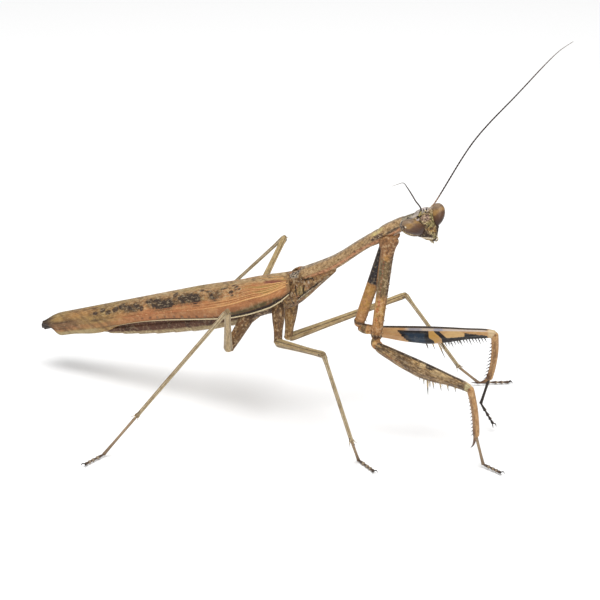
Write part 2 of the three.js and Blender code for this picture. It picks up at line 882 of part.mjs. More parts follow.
addTrunk();
for (const side of Object.keys(SIDES)) {
  addPairs(side);
  addForeleg(side);
  addWalkingLeg("mid", side);
  addWalkingLeg("hind", side);
}
centreOnFloor();

export default mantis;
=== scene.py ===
import math

import bpy
import numpy as np
from mathutils import Euler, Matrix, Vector, noise


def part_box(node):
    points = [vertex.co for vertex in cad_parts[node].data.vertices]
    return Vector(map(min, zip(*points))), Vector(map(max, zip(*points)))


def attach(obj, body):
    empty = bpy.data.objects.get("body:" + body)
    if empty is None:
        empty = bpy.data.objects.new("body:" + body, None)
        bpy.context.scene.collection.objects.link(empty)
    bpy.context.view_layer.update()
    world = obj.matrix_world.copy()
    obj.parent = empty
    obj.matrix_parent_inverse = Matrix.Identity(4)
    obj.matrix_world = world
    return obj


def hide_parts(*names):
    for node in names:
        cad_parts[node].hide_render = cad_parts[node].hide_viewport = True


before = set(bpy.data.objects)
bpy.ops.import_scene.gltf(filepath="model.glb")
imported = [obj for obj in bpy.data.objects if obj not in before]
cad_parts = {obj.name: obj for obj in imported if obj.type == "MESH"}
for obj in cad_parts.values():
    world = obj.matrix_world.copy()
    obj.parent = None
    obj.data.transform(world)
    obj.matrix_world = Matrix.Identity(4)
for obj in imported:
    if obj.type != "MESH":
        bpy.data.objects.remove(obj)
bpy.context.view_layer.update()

MM = 0.001
SIDES = {"right": -1, "left": 1}
UP = np.array([0.0, 0.0, 1.0])
FORWARD = np.array([1.0, 0.0, 0.0])

# ---- driving sizes, as in the solids ----
LEG_LENGTHS = {
    "fore": {
        "coxa": 10.46, "trochanter": 1.21, "femur": 13.03, "tibia": 5.88, "basitarsus": 2.88, "toes": 2.54,
    },
    "mid": {"coxa": 3.97, "femur": 14.27, "tibia": 9.68, "basitarsus": 2.92, "toes": 3.35},
    "hind": {"coxa": 4.35, "femur": 14.81, "tibia": 14.76, "basitarsus": 4.99, "toes": 3.06},
}

# Where each leg leaves the body, and the heading and climb of each of its parts, in degrees.
POSE = {
    "fore_right": {
        "hip": (9.97, -1.03, 20.38), "coxa": (175.1, -82.3), "trochanter": (-63.2, -18),
        "femur": (-18.3, -4.3), "tibia": (82.4, -75.2), "basitarsus": (-26.2, -65.6), "toes": (-22.2, -3.4),
    },
    "fore_left": {
        "hip": (9, 1.1, 20.5), "coxa": (-170.8, -72), "trochanter": (9.7, -20), "femur": (12.5, 3.9),
        "tibia": (126, -73.6), "basitarsus": (-172.4, -73.7), "toes": (-18.1, -46),
    },
    "mid_right": {
        "hip": (-2.6, -1.15, 11.75), "coxa": (-62.6, -55.7), "femur": (-42.6, 14.1),
        "tibia": (31.6, -73), "basitarsus": (90, -59), "toes": (-35.9, -0.5),
    },
    "mid_left": {
        "hip": (-2.3, 1.18, 11.35), "coxa": (165, -83), "femur": (55.5, 10.2),
        "tibia": (15.4, -52.8), "basitarsus": (36.9, -41), "toes": (35.9, -2.5),
    },
    "hind_right": {
        "hip": (-5.9, -1.3, 10.4), "coxa": (-131.2, -56.2), "femur": (-60.7, 34.7),
        "tibia": (-155.4, -51), "basitarsus": (-127, -44), "toes": (-95.5, -1.6),
    },
    "hind_left": {
        "hip": (-5.9, 1.3, 10.4), "coxa": (160, -42), "femur": (98.8, 22.7),
        "tibia": (-177.7, -45), "basitarsus": (176.4, -30), "toes": (164.1, -1.5),
    },
}

# The hind body's straight axis starts at the wing roots and slopes down to the tail.
WING_ROOT = np.array([-1.5, 0.0, 14.1])
BODY_SLOPE = math.radians(18.2)
ABDOMEN_START = 6.2
ABDOMEN_END = 25.5
TEGMEN_LENGTH = 32.2
TEGMEN_BREADTH = 5.0
TEGMEN_THICKNESS = 0.2
TEGMEN_RISE = 0.15  # from the middle of the solid wing to the middle of the thinner one
HINDWING_START = 25
HINDWING_END = 32.5
HINDWING_THICKNESS = 0.3
HINDWING_PLEATS = 5

# The head: its centre, how far it is turned, raised and rolled, and its eyes.
HEAD_CENTRE = np.array([13.66, -0.5, 23])
HEAD_TURN, HEAD_RAISE, HEAD_ROLL = (math.radians(angle) for angle in (-31, 17, 15))
EYE_OUT = -0.04
EYE_APART = 1.48
EYE_RADII = np.array([1.31, 0.74, 1.3])
EYE_RISE = 0.12
EYE_TILT = math.radians(45)
RIM = 0.02
RIM_SHIFT = 0.1
HEAD_ROWS = [
    # height, half width, front, back
    (-1.85, 0.4, 0.8, 0.1),
    (-1.62, 0.65, 0.9, -0.3),
    (-1.2, 1.02, 0.92, -0.6),
    (-0.6, 1.48, 0.82, -0.85),
    (0, 1.75, 0.8, -0.95),
    (0.6, 1.7, 0.7, -0.9),
    (1.18, 1.12, 0.5, -0.65),
    (1.42, 0.7, 0.25, -0.35),
]

# Where each feeler leaves the face, to the left and up, the end of its first joint, and its way from there.
SOCKETS = {"right": (-0.64, 0.93), "left": (0.3, 0.97)}
SCAPE_TIPS = {"right": (0.62, -0.24, 1.35), "left": (1.0, 0.9, 1.3)}
ANTENNAE = {
    "right": [
        (14.1, -3.6, 26.2), (16.05, -9.6, 29.5), (17.2, -12.7, 30.85), (18.15, -15.9, 31.7),
        (19, -18.8, 32.4),
    ],
    "left": [(17.4, 2.75, 31.1), (21.35, 4.25, 36.1), (25, 5.5, 40.5), (26.5, 5.6, 41.7)],
}


# ---- places and directions ----
def unit(vector):
    return np.asarray(vector, float) / np.linalg.norm(vector)


def aim(heading, climb):
    heading, climb = math.radians(heading), math.radians(climb)
    flat = math.cos(climb)
    return np.array([math.cos(heading) * flat, math.sin(heading) * flat, math.sin(climb)])


def between(share, start, end):
    return start + (end - start) * share


def eased(share):
    """Runs from 0 to 1 with flat ends."""
    share = np.clip(share, 0, 1)
    return share * share * (3 - 2 * share)


def bump_at(value, centre, reach):
    """A soft hump from 0 to 1, as wide as twice its reach."""
    return eased(1 - np.abs(value - centre) / reach)


def joined(*values):
    """Points from three numbers or arrays of numbers."""
    return np.stack(np.broadcast_arrays(*(np.asarray(value, float) for value in values)), axis=-1)


# The hind body's own frame: back along its axis, to the left, and up from it; and the same facing ahead.
ALONG, RISE = math.cos(BODY_SLOPE), math.sin(BODY_SLOPE)
BODY_FRAME = np.array([[-ALONG, 0, -RISE], [0, 1, 0], [-RISE, 0, ALONG]])
FORWARD_FRAME = BODY_FRAME * [-1, 1, 1]
# The head's own frame: x out of the face, y to the left eye, z to the crown.
HEAD_FRAME = np.array(Euler((HEAD_ROLL, -HEAD_RAISE, HEAD_TURN), "XYZ").to_matrix())


def body_point(behind, left, above):
    """A point of the hind body: behind the wing roots, to the left, and above the axis."""
    return WING_ROOT + joined(behind, left, above) @ BODY_FRAME.T


def head_point(x, y, z):
    return HEAD_CENTRE + joined(x, y, z) @ HEAD_FRAME.T


def eye_centre(side, shift=0.0):
    y = SIDES[side]
    return head_point(EYE_OUT - shift, y * (EYE_APART - 0.2 * shift), EYE_RISE - 0.5 * shift)


def node_middle(node):
    low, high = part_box(node)
    return (np.array(low) + np.array(high)) / 2 / MM


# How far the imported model's origin lies from the one that these sizes use.
SHIFT = node_middle("eye_left") - eye_centre("left")


class Bone:
    """A straight part of a leg, from one joint to the next."""

    def __init__(self, start, along, length):
        self.start, self.along, self.length = start, along, length
        self.end = start + along * length

    def at(self, share):
        return self.start + self.along * self.length * share


def leg_bones(kind, side):
    """The parts of a leg, from the hip to the last claw."""
    pose = POSE[f"{kind}_{side}"]
    bones, start = {}, np.array(pose["hip"], float)
    for part, length in LEG_LENGTHS[kind].items():
        bones[part] = Bone(start, aim(*pose[part]), length)
        start = bones[part].end
    return bones


BONES = {(kind, side): leg_bones(kind, side) for kind in LEG_LENGTHS for side in SIDES}


def bones_of(kind, side, *parts):
    return [BONES[kind, side][part] for part in parts]


# ---- paths and skins ----
def cubic(t, start, leave, end, reach):
    """Runs from start to end, leaving at one rate and reaching the end at another, as t runs from 0 to 1."""
    return (
        (2 * t**3 - 3 * t**2 + 1) * start
        + (t**3 - 2 * t**2 + t) * leave
        + (3 * t**2 - 2 * t**3) * end
        + (t**3 - t**2) * reach
    )


def swept(points):
    """Close points along the smooth curve through the given ones."""
    points = np.asarray(points, float)
    if len(points) == 2:
        return np.linspace(points[0], points[1], 40)
    padded = np.vstack([2 * points[0] - points[1], points, 2 * points[-1] - points[-2]])
    t = np.linspace(0, 1, 40, endpoint=False)[:, None]
    spans = []
    for before, start, end, after in zip(padded, padded[1:], padded[2:], padded[3:]):
        gaps = [math.sqrt(np.linalg.norm(b - a)) for a, b in ((before, start), (start, end), (end, after))]
        rate = (end - start) / gaps[1]
        leave = ((start - before) / gaps[0] - (end - before) / (gaps[0] + gaps[1]) + rate) * gaps[1]
        reach = (rate - (after - start) / (gaps[1] + gaps[2]) + (after - end) / gaps[2]) * gaps[1]
        spans.append(cubic(t, start, leave, end, reach))
    return np.vstack([*spans, points[-1:]])


class Path:
    """A smooth path, read by share of its length."""

    def __init__(self, *points):
        self.points = swept(points)
        steps = np.linalg.norm(np.diff(self.points, axis=0), axis=1)
        self.run = np.concatenate([[0], np.cumsum(steps)])
        self.length = self.run[-1]

    def at(self, shares):
        run = np.asarray(shares, float) * self.length
        return np.stack([np.interp(run, self.run, self.points[:, axis]) for axis in range(3)], axis=-1)

    def along(self, shares):
        step = 0.012
        ahead = self.at(np.clip(np.asarray(shares) + step, 0, 1))
        behind = self.at(np.clip(np.asarray(shares) - step, 0, 1))
        way = ahead - behind
        return way / np.linalg.norm(way, axis=-1, keepdims=True)


def read_table(rows, shares, values=1):
    """Smooth values without overshoot from rows of [share, value, ...]; short rows end in zeros."""
    width = max(values + 1, *(len(row) for row in rows))
    table = np.array([list(row) + [0] * (width - len(row)) for row in rows], float)
    x, y = table[:, 0], table[:, 1:]
    gap = np.diff(x)[:, None]
    slope = np.diff(y, axis=0) / gap
    rate = np.zeros_like(y)
    same = slope[:-1] * slope[1:] > 0
    total = np.where(same, slope[:-1] + slope[1:], 1)
    rate[1:-1] = np.where(same, 2 * slope[:-1] * slope[1:] / total, 0)
    rate[0], rate[-1] = slope[0], slope[-1]
    shares = np.clip(shares, x[0], x[-1])
    row = np.clip(np.searchsorted(x, shares, side="right") - 1, 0, len(x) - 2)
    step = gap[row]
    t = ((shares - x[row]) / gap[row, 0])[:, None]
    return cubic(t, y[row], step * rate[row], y[row + 1], step * rate[row + 1])


class Skin:
    """A surface in the making: points, faces, and each point's place on its piece."""

    def __init__(self, points, faces, places):
        self.points = np.asarray(points, float).reshape(-1, 3)
        self.faces = faces
        self.places = np.asarray(places, float).reshape(-1, 3)

    def __add__(self, other):
        count = len(self.points)
        moved = [tuple(corner + count for corner in face) for face in other.faces]
        points = np.vstack([self.points, other.points])
        return Skin(points, self.faces + moved, np.vstack([self.places, other.places]))


def capped_rings(count, around):
    """Faces of a closed tube of rings, whose two poles are the last two points."""
    first_pole, last_pole = count * around, count * around + 1
    faces = []
    for ring in range(count - 1):
        for step in range(around):
            after = (step + 1) % around
            base, top = ring * around, (ring + 1) * around
            faces.append((base + step, base + after, top + after, top + step))
    end = (count - 1) * around
    for step in range(around):
        after = (step + 1) % around
        faces.append((first_pole, after, step))
        faces.append((last_pole, end + step, end + after))
    return faces


def tube_shares(length, blunt, steps):
    """Shares of the length for a tube's rings, and how far each has opened from its blunt end."""
    turn = np.linspace(0, math.pi / 2, 7)[1:-1]
    start = blunt * (1 - np.cos(turn)) / length
    body = np.linspace(blunt / length, 1 - blunt / length, steps)
    shares = np.concatenate([start, body, 1 - start[::-1]])
    opened = np.concatenate([np.sin(turn), np.ones(steps), np.sin(turn)[::-1]])
    return shares, opened


def tube(path, rings, up=UP, around=24, steps=60, blunt=0.2, relief=None, inner=1):
    """A closed tube along a path, with rings of [share, half width, half height, rise].

    A point's place is its share of the length, from outer (-1) to inner (1), and from front (-1) to back (1).
    """
    shares, opened = tube_shares(path.length, blunt, steps)
    width, height, rise = read_table(rings, shares, 3).T
    width, height = width * opened, height * opened
    along = path.along(shares)
    across = np.cross(up, along)
    across /= np.linalg.norm(across, axis=1, keepdims=True)
    above = np.cross(along, across)
    angle = np.linspace(0, 2 * math.pi, around, endpoint=False)[None, :]
    share, x, z = np.broadcast_arrays(shares[:, None], np.cos(angle), np.sin(angle))
    lift = relief(share, x * inner, z) * opened[:, None] if relief else 0
    wide = x * (width[:, None] + lift)
    high = z * (height[:, None] + lift) + rise[:, None]
    centre = path.at(shares)[:, None, :]
    points = centre + wide[..., None] * across[:, None, :] + high[..., None] * above[:, None, :]
    places = joined(share, x * inner, z)
    poles = path.at([0.0, 1.0]) + read_table(rings, np.array([0.0, 1.0]), 3)[:, 2:] * above[[0, -1]]
    points = np.vstack([points.reshape(-1, 3), poles])
    places = np.vstack([places.reshape(-1, 3), [[0, 0, 0], [1, 0, 0]]])
    return Skin(points, capped_rings(len(shares), around), places)


def egg(centre, radii, frame_of, around=48, steps=32):
    """An ellipsoid in a frame of three directions; a point's place is its own on the unit ball."""
    tilt = np.linspace(0, math.pi, steps + 2)[1:-1, None]
    angle = np.linspace(0, 2 * math.pi, around, endpoint=False)
    ball = joined(np.sin(tilt) * np.cos(angle), np.sin(tilt) * np.sin(angle), -np.cos(tilt)).reshape(-1, 3)
    ball = np.vstack([ball, [[0, 0, -1], [0, 0, 1]]])
    return Skin(centre + (ball * radii) @ frame_of.T, capped_rings(steps, around), ball)


def square_to(surface, u, v):
    """The directions that stand square to a surface of two shares."""
    step = 0.002
    along_u = surface(u + step, v) - surface(u - step, v)
    along_v = surface(u, v + step) - surface(u, v - step)
    out = np.cross(along_u, along_v)
    return out / np.linalg.norm(out, axis=-1, keepdims=True)


def plate(surface, thickness, columns, rows):
    """A thin closed sheet on a surface of two shares, outer face first; its edges close round it."""
    u, v = (between(np.arange(count + 1) / count, 0.001, 0.999) for count in (columns, rows))
    u, v = np.meshgrid(u, v, indexing="ij")
    middle = surface(u, v)
    half = square_to(surface, u, v) * (thickness(u, v)[..., None] / 2)
    points = np.stack([middle + half, middle - half]).reshape(-1, 3)
    places = np.stack([joined(u, v, face) for face in (1, -1)]).reshape(-1, 3)
    grid = np.arange((columns + 1) * (rows + 1)).reshape(columns + 1, rows + 1)
    other = grid + grid.size
    faces = []
    for i in range(columns):
        for j in range(rows):
            faces.append((grid[i, j], grid[i + 1, j], grid[i + 1, j + 1], grid[i, j + 1]))
            faces.append((other[i, j], other[i, j + 1], other[i + 1, j + 1], other[i + 1, j]))
    for line, mate in edge_lines(grid, other):
        for a, b, c, d in zip(line, line[1:], mate[1:], mate):
            faces.append((a, d, c, b))
    return Skin(points, [tuple(int(corner) for corner in face) for face in faces], places)


def edge_lines(grid, other):
    """The four edges of a sheet's two faces, each walked the way its outer face turns."""
    for pick in (lambda g: g[:, 0], lambda g: g[-1, :], lambda g: g[::-1, -1], lambda g: g[0, ::-1]):
        yield pick(grid), pick(other)


# ---- meshes ----
def new_object(name, mesh):
    made = bpy.data.objects.new(name, mesh)
    bpy.context.scene.collection.objects.link(made)
    return made


def keep(mesh, name, values):
    """Keeps a number or a direction for each point, under a name that finishes and trees read."""
    values = np.asarray(values, np.float32)
    kind, field = ("FLOAT", "value") if values.ndim == 1 else ("FLOAT_VECTOR", "vector")
    mesh.attributes.new(name, kind, "POINT").data.foreach_set(field, values.ravel())


def raw_mesh(name, points, edges=(), faces=()):
    """A mesh in metres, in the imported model's frame."""
    mesh = bpy.data.meshes.new(name)
    mesh.from_pydata(((np.asarray(points) + SHIFT) * MM).tolist(), edges, faces)
    return mesh


def mesh_of(name, skin):
    """A skin's mesh, which keeps each point's place on its piece."""
    mesh = raw_mesh(name, skin.points, faces=skin.faces)
    keep(mesh, "place", skin.places)
    mesh.polygons.foreach_set("use_smooth", [True] * len(mesh.polygons))
    mesh.update()
    return mesh


def add_piece(name, mesh, finish, slot, *nodes):
    """Puts a finished mesh into the scene, in place of the solids that it stands for."""
    made = new_object(f"{name}_cuticle" if nodes else name, mesh)
    mesh.materials.clear()
    mesh.materials.append(finish)
    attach(made, "root")
    if nodes:
        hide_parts(*nodes)


def skin_piece(node, skin, finish, slot):
    """The finished piece that takes a solid's place."""
    add_piece(node, mesh_of(node, skin), finish, slot, node)


def plain_mesh(maker):
    """The finished mesh of an object with modifiers, which is then taken away."""
    mesh = bpy.data.meshes.new_from_object(maker.evaluated_get(bpy.context.evaluated_depsgraph_get()))
    bpy.data.objects.remove(maker)
    return mesh


def blended(skins, voxel, rounds):
    """One closed skin round several overlapping ones, with rounded joins between them, and its normals."""
    whole = skins[0]
    for skin in skins[1:]:
        whole = whole + skin
    mesh = bpy.data.meshes.new("blend")
    mesh.from_pydata(whole.points.tolist(), [], whole.faces)
    block = new_object("blend", mesh)
    remesh = block.modifiers.new("remesh", "REMESH")
    remesh.mode = "VOXEL"
    remesh.voxel_size = voxel
    relax = block.modifiers.new("relax", "SMOOTH")
    relax.factor = 0.5
    relax.iterations = rounds
    joined = plain_mesh(block)
    points, normals = (np.empty(len(joined.vertices) * 3) for _ in range(2))
    joined.vertices.foreach_get("co", points)
    joined.vertex_normals.foreach_get("vector", normals)
    faces = [tuple(face.vertices) for face in joined.polygons]
    return Skin(points, faces, np.zeros_like(points)), normals.reshape(-1, 3)


# ---- nodes ----
def colour(code):
    """A linear colour from a six-figure one."""
    parts = [int(code[start : start + 2], 16) / 255 for start in (0, 2, 4)]
    return (*(part / 12.92 if part <= 0.04045 else ((part + 0.055) / 1.055) ** 2.4 for part in parts), 1.0)


class Reading:
    """A value read from a node, which arithmetic turns into further nodes."""

    def __init__(self, nodes, socket):
        self.nodes = nodes
        self.socket = socket

    def __add__(self, other):
        return self.nodes.math("ADD", self, other)

    def __sub__(self, other):
        return self.nodes.math("SUBTRACT", self, other)

    def __rsub__(self, other):
        return self.nodes.math("SUBTRACT", other, self)

    def __mul__(self, other):
        return self.nodes.math("MULTIPLY", self, other)

    def __truediv__(self, other):
        return self.nodes.math("DIVIDE", self, other)

    __radd__ = __add__
    __rmul__ = __mul__

    def size(self):
        return self.nodes.math("ABSOLUTE", self)

    def sine(self):
        return self.nodes.math("SINE", self)

    def power(self, exponent):
        return self.nodes.math("POWER", self, exponent) if exponent != 2 else self * self

    def wave(self, period):
        """Runs between 0 and 1 and back once each period."""
        return (self * (2 * math.pi / period)).sine() * 0.5 + 0.5

    def rise(self, low, high):
        """Runs smoothly from 0 at low to 1 at high."""
        inputs = {"Value": self, "From Min": low, "From Max": high}
        return self.nodes.read("ShaderNodeMapRange", inputs, "Result", interpolation_type="SMOOTHSTEP")

    def fall(self, low, high):
        """Runs smoothly from 1 at low to 0 at high."""
        return 1 - self.rise(low, high)

    def band(self, low, high, soft):
        """1 between low and high, with soft edges."""
        return self.rise(low - soft, low + soft) * self.fall(high - soft, high + soft)


class Nodes:
    """A tree of nodes in the making, added in plain words."""

    def node(self, kind, inputs=None, **settings):
        made = self.tree.nodes.new(kind)
        for word, value in settings.items():
            setattr(made, word, value)
        for word, value in (inputs or {}).items():
            socket = made.inputs[word]
            if isinstance(value, Reading):
                self.tree.links.new(value.socket, socket)
            else:
                socket.default_value = colour(value) if socket.type == "RGBA" else value
        return made

    def read(self, kind, inputs=None, output=None, **settings):
        """A node's output of the given name or number, or else the first one in use."""
        outputs = self.node(kind, inputs, **settings).outputs
        in_use = next(socket for socket in outputs if socket.enabled)
        return Reading(self, in_use if output is None else outputs[output])

    def math(self, operation, *values):
        return self.read("ShaderNodeMath", dict(enumerate(values)), operation=operation)

    def together(self, x=0.0, y=0.0, z=0.0):
        return self.read("ShaderNodeCombineXYZ", {"X": x, "Y": y, "Z": z})


# ---- geometry node trees ----
class Tree(Nodes):
    """A geometry node tree in the making, with named inputs for its sizes and one for its finish."""

    def __init__(self, name, **sizes):
        self.tree = bpy.data.node_groups.new(name, "GeometryNodeTree")
        board = self.tree.interface
        board.new_socket(name="Geometry", in_out="OUTPUT", socket_type="NodeSocketGeometry")
        board.new_socket(name="Geometry", in_out="INPUT", socket_type="NodeSocketGeometry")
        self.identifiers = {}
        for word, value in sizes.items():
            kind = "NodeSocketInt" if isinstance(value, int) else "NodeSocketFloat"
            socket = board.new_socket(name=word, in_out="INPUT", socket_type=kind)
            socket.default_value = value
            self.identifiers[word] = socket.identifier
        finish = board.new_socket(name="finish", in_out="INPUT", socket_type="NodeSocketMaterial")
        self.identifiers["finish"] = finish.identifier
        self.start = {socket.name: Reading(self, socket) for socket in self.node("NodeGroupInput").outputs}

    def attribute(self, name, data_type="FLOAT"):
        return self.read("GeometryNodeInputNamedAttribute", {"Name": name}, data_type=data_type)

    def keep(self, geometry, name, vector):
        inputs = {"Geometry": geometry, "Name": name, "Value": vector}
        return self.read("GeometryNodeStoreNamedAttribute", inputs, data_type="FLOAT_VECTOR", domain="POINT")

    def rod(self, curve, radius):
        """A round closed rod along a curve, with the given half thickness."""
        inputs = {"Resolution": self.start["sides"], "Radius": 1.0}
        ring = self.read("GeometryNodeCurvePrimitiveCircle", inputs)
        inputs = {"Curve": curve, "Profile Curve": ring, "Scale": radius, "Fill Caps": True}
        return self.read("GeometryNodeCurveToMesh", inputs)

    def set_on_points(self, points, shape, rotation, size):
        inputs = {"Points": points, "Instance": shape, "Rotation": rotation, "Scale": size}
        return self.close(self.read("GeometryNodeInstanceOnPoints", inputs))

    def close(self, geometry):
        """Ends the tree in plain, finished mesh."""
        real = self.read("GeometryNodeRealizeInstances", {"Geometry": geometry})
        smooth = self.read("GeometryNodeSetShadeSmooth", {"Geometry": real, "Shade Smooth": True})
        inputs = {"Geometry": smooth, "Material": self.start["finish"]}
        self.node("NodeGroupOutput", {0: self.read("GeometryNodeSetMaterial", inputs)})
        return self


def grow(tree, name, base, finish, slot, *nodes, **sizes):
    """Adds the piece that a tree makes on a base mesh."""
    maker = new_object(name, base)
    modifier = maker.modifiers.new("grow", "NODES")
    modifier.node_group = tree.tree
    for word, value in {**sizes, "finish": finish}.items():
        modifier[tree.identifiers[word]] = value
    add_piece(name, plain_mesh(maker), finish, slot, *nodes)


def make_rib_tree():
    """Round ribs along paths, as thick as each path's girth and jointed like a string of beads."""
    tree = Tree("ribs_along_paths", joint=1.0, waist=0.0, step=0.1, sides=8)
    start = tree.start
    curve = tree.read("GeometryNodeMeshToCurve", {"Mesh": start["Geometry"]})
    inputs = {"Curve": curve, "Length": start["step"]}
    curve = tree.read("GeometryNodeResampleCurve", inputs, mode="LENGTH")
    run = tree.read("GeometryNodeSplineParameter", output="Length")
    belly = (run / start["joint"] * math.pi).sine().size().power(0.5)
    radius = tree.attribute("girth") * (1 - (1 - belly) * start["waist"])
    share = tree.read("GeometryNodeSplineParameter", output="Factor")
    return tree.close(tree.rod(tree.keep(curve, "place", tree.together(share, belly)), radius))


def make_spine_tree():
    """Curved spines on points, each as long as the point's reach and as thick as its girth."""
    tree = Tree("spines_on_points", bend=0.3, sides=7, rings=6)
    reach, girth = tree.attribute("reach", "FLOAT_VECTOR"), tree.attribute("girth")
    middle = tree.together(tree.start["bend"], z=0.5)
    inputs = {"Resolution": tree.start["rings"], "Start": (0, 0, 0), "Middle": middle, "End": (0, 0, 1)}
    curve = tree.read("GeometryNodeCurveQuadraticBezier", inputs)
    share = tree.read("GeometryNodeSplineParameter", output="Factor")
    shape = tree.rod(tree.keep(curve, "place", tree.together(share)), (1 - share).power(0.8) + 0.04)
    turn = tree.read("FunctionNodeAlignRotationToVector", {"Vector": reach}, axis="Z")
    length = tree.read("ShaderNodeVectorMath", {0: reach}, "Value", operation="LENGTH")
    return tree.set_on_points(tree.start["Geometry"], shape, turn, tree.together(girth, girth, length))


def make_granule_tree():
    """Grains strewn over faces, each turned and sized a little differently."""
    tree = Tree("granules_on_faces", per_square_mm=1.0, length=0.0001, width=0.00001, seed=1)
    start, seed = tree.start, {"Seed": tree.start["seed"]}
    grain = tree.read("GeometryNodeMeshIcoSphere", {"Radius": 1.0, "Subdivisions": 2})
    inputs = {"Mesh": start["Geometry"], "Density": start["per_square_mm"] * (1 / MM**2), **seed}
    strewn = tree.node("GeometryNodeDistributePointsOnFaces", inputs).outputs
    points, rotation = (Reading(tree, strewn[word]) for word in ("Points", "Rotation"))
    spin_range = {0: (0.0, 0.0, 0.0), 1: (0.0, 0.0, 2 * math.pi)}
    spin = tree.read("FunctionNodeRandomValue", {**spin_range, **seed}, data_type="FLOAT_VECTOR")
    inputs = {"Rotation": rotation, "Rotate By": spin}
    turned = tree.read("FunctionNodeRotateRotation", inputs, rotation_space="LOCAL")
    varied = tree.read("FunctionNodeRandomValue", {2: 0.6, 3: 1.2, **seed}, data_type="FLOAT")
    width = start["width"] * varied
    return tree.set_on_points(points, grain, turned, tree.together(width, width, start["length"] * varied))


RIBS = make_rib_tree()
SPINES = make_spine_tree()
GRANULES = make_granule_tree()


def ribs(name, lines, finish, slot, *nodes, joint=1.0, waist=0.0, step=0.12, sides=8):
    """Adds ribs along lines of points; each line comes with its half thickness at each point."""
    points, edges, girths = [], [], []
    for line, girth in lines:
        first = len(points)
        points.extend(line)
        girths.extend(girth)
        edges.extend((first + step_no, first + step_no + 1) for step_no in range(len(line) - 1))
    base = raw_mesh(name, points, edges)
    keep(base, "girth", np.array(girths) * MM)
    sizes = {"joint": joint * MM, "waist": waist, "step": step * MM, "sides": sides}
    grow(RIBS, name, base, finish, slot, *nodes, **sizes)


def spines(name, rows, finish, slot, rings=6):
    """Adds spines from rows of (root, tip, half thickness)."""
    roots, tips, girths = (np.array(column) for column in zip(*rows))
    base = raw_mesh(name, roots)
    keep(base, "reach", (tips - roots) * MM)
    keep(base, "girth", girths * MM)
    grow(SPINES, name, base, finish, slot, bend=0.3, sides=7, rings=rings)


def granules(name, skin, finish, slot, per_square_mm, height, width, seed):
    """Strews grains over a skin."""
    sizes = {"per_square_mm": per_square_mm, "length": height * MM, "width": width * MM, "seed": seed}
    grow(GRANULES, name, mesh_of(name, skin), finish, slot, **sizes)


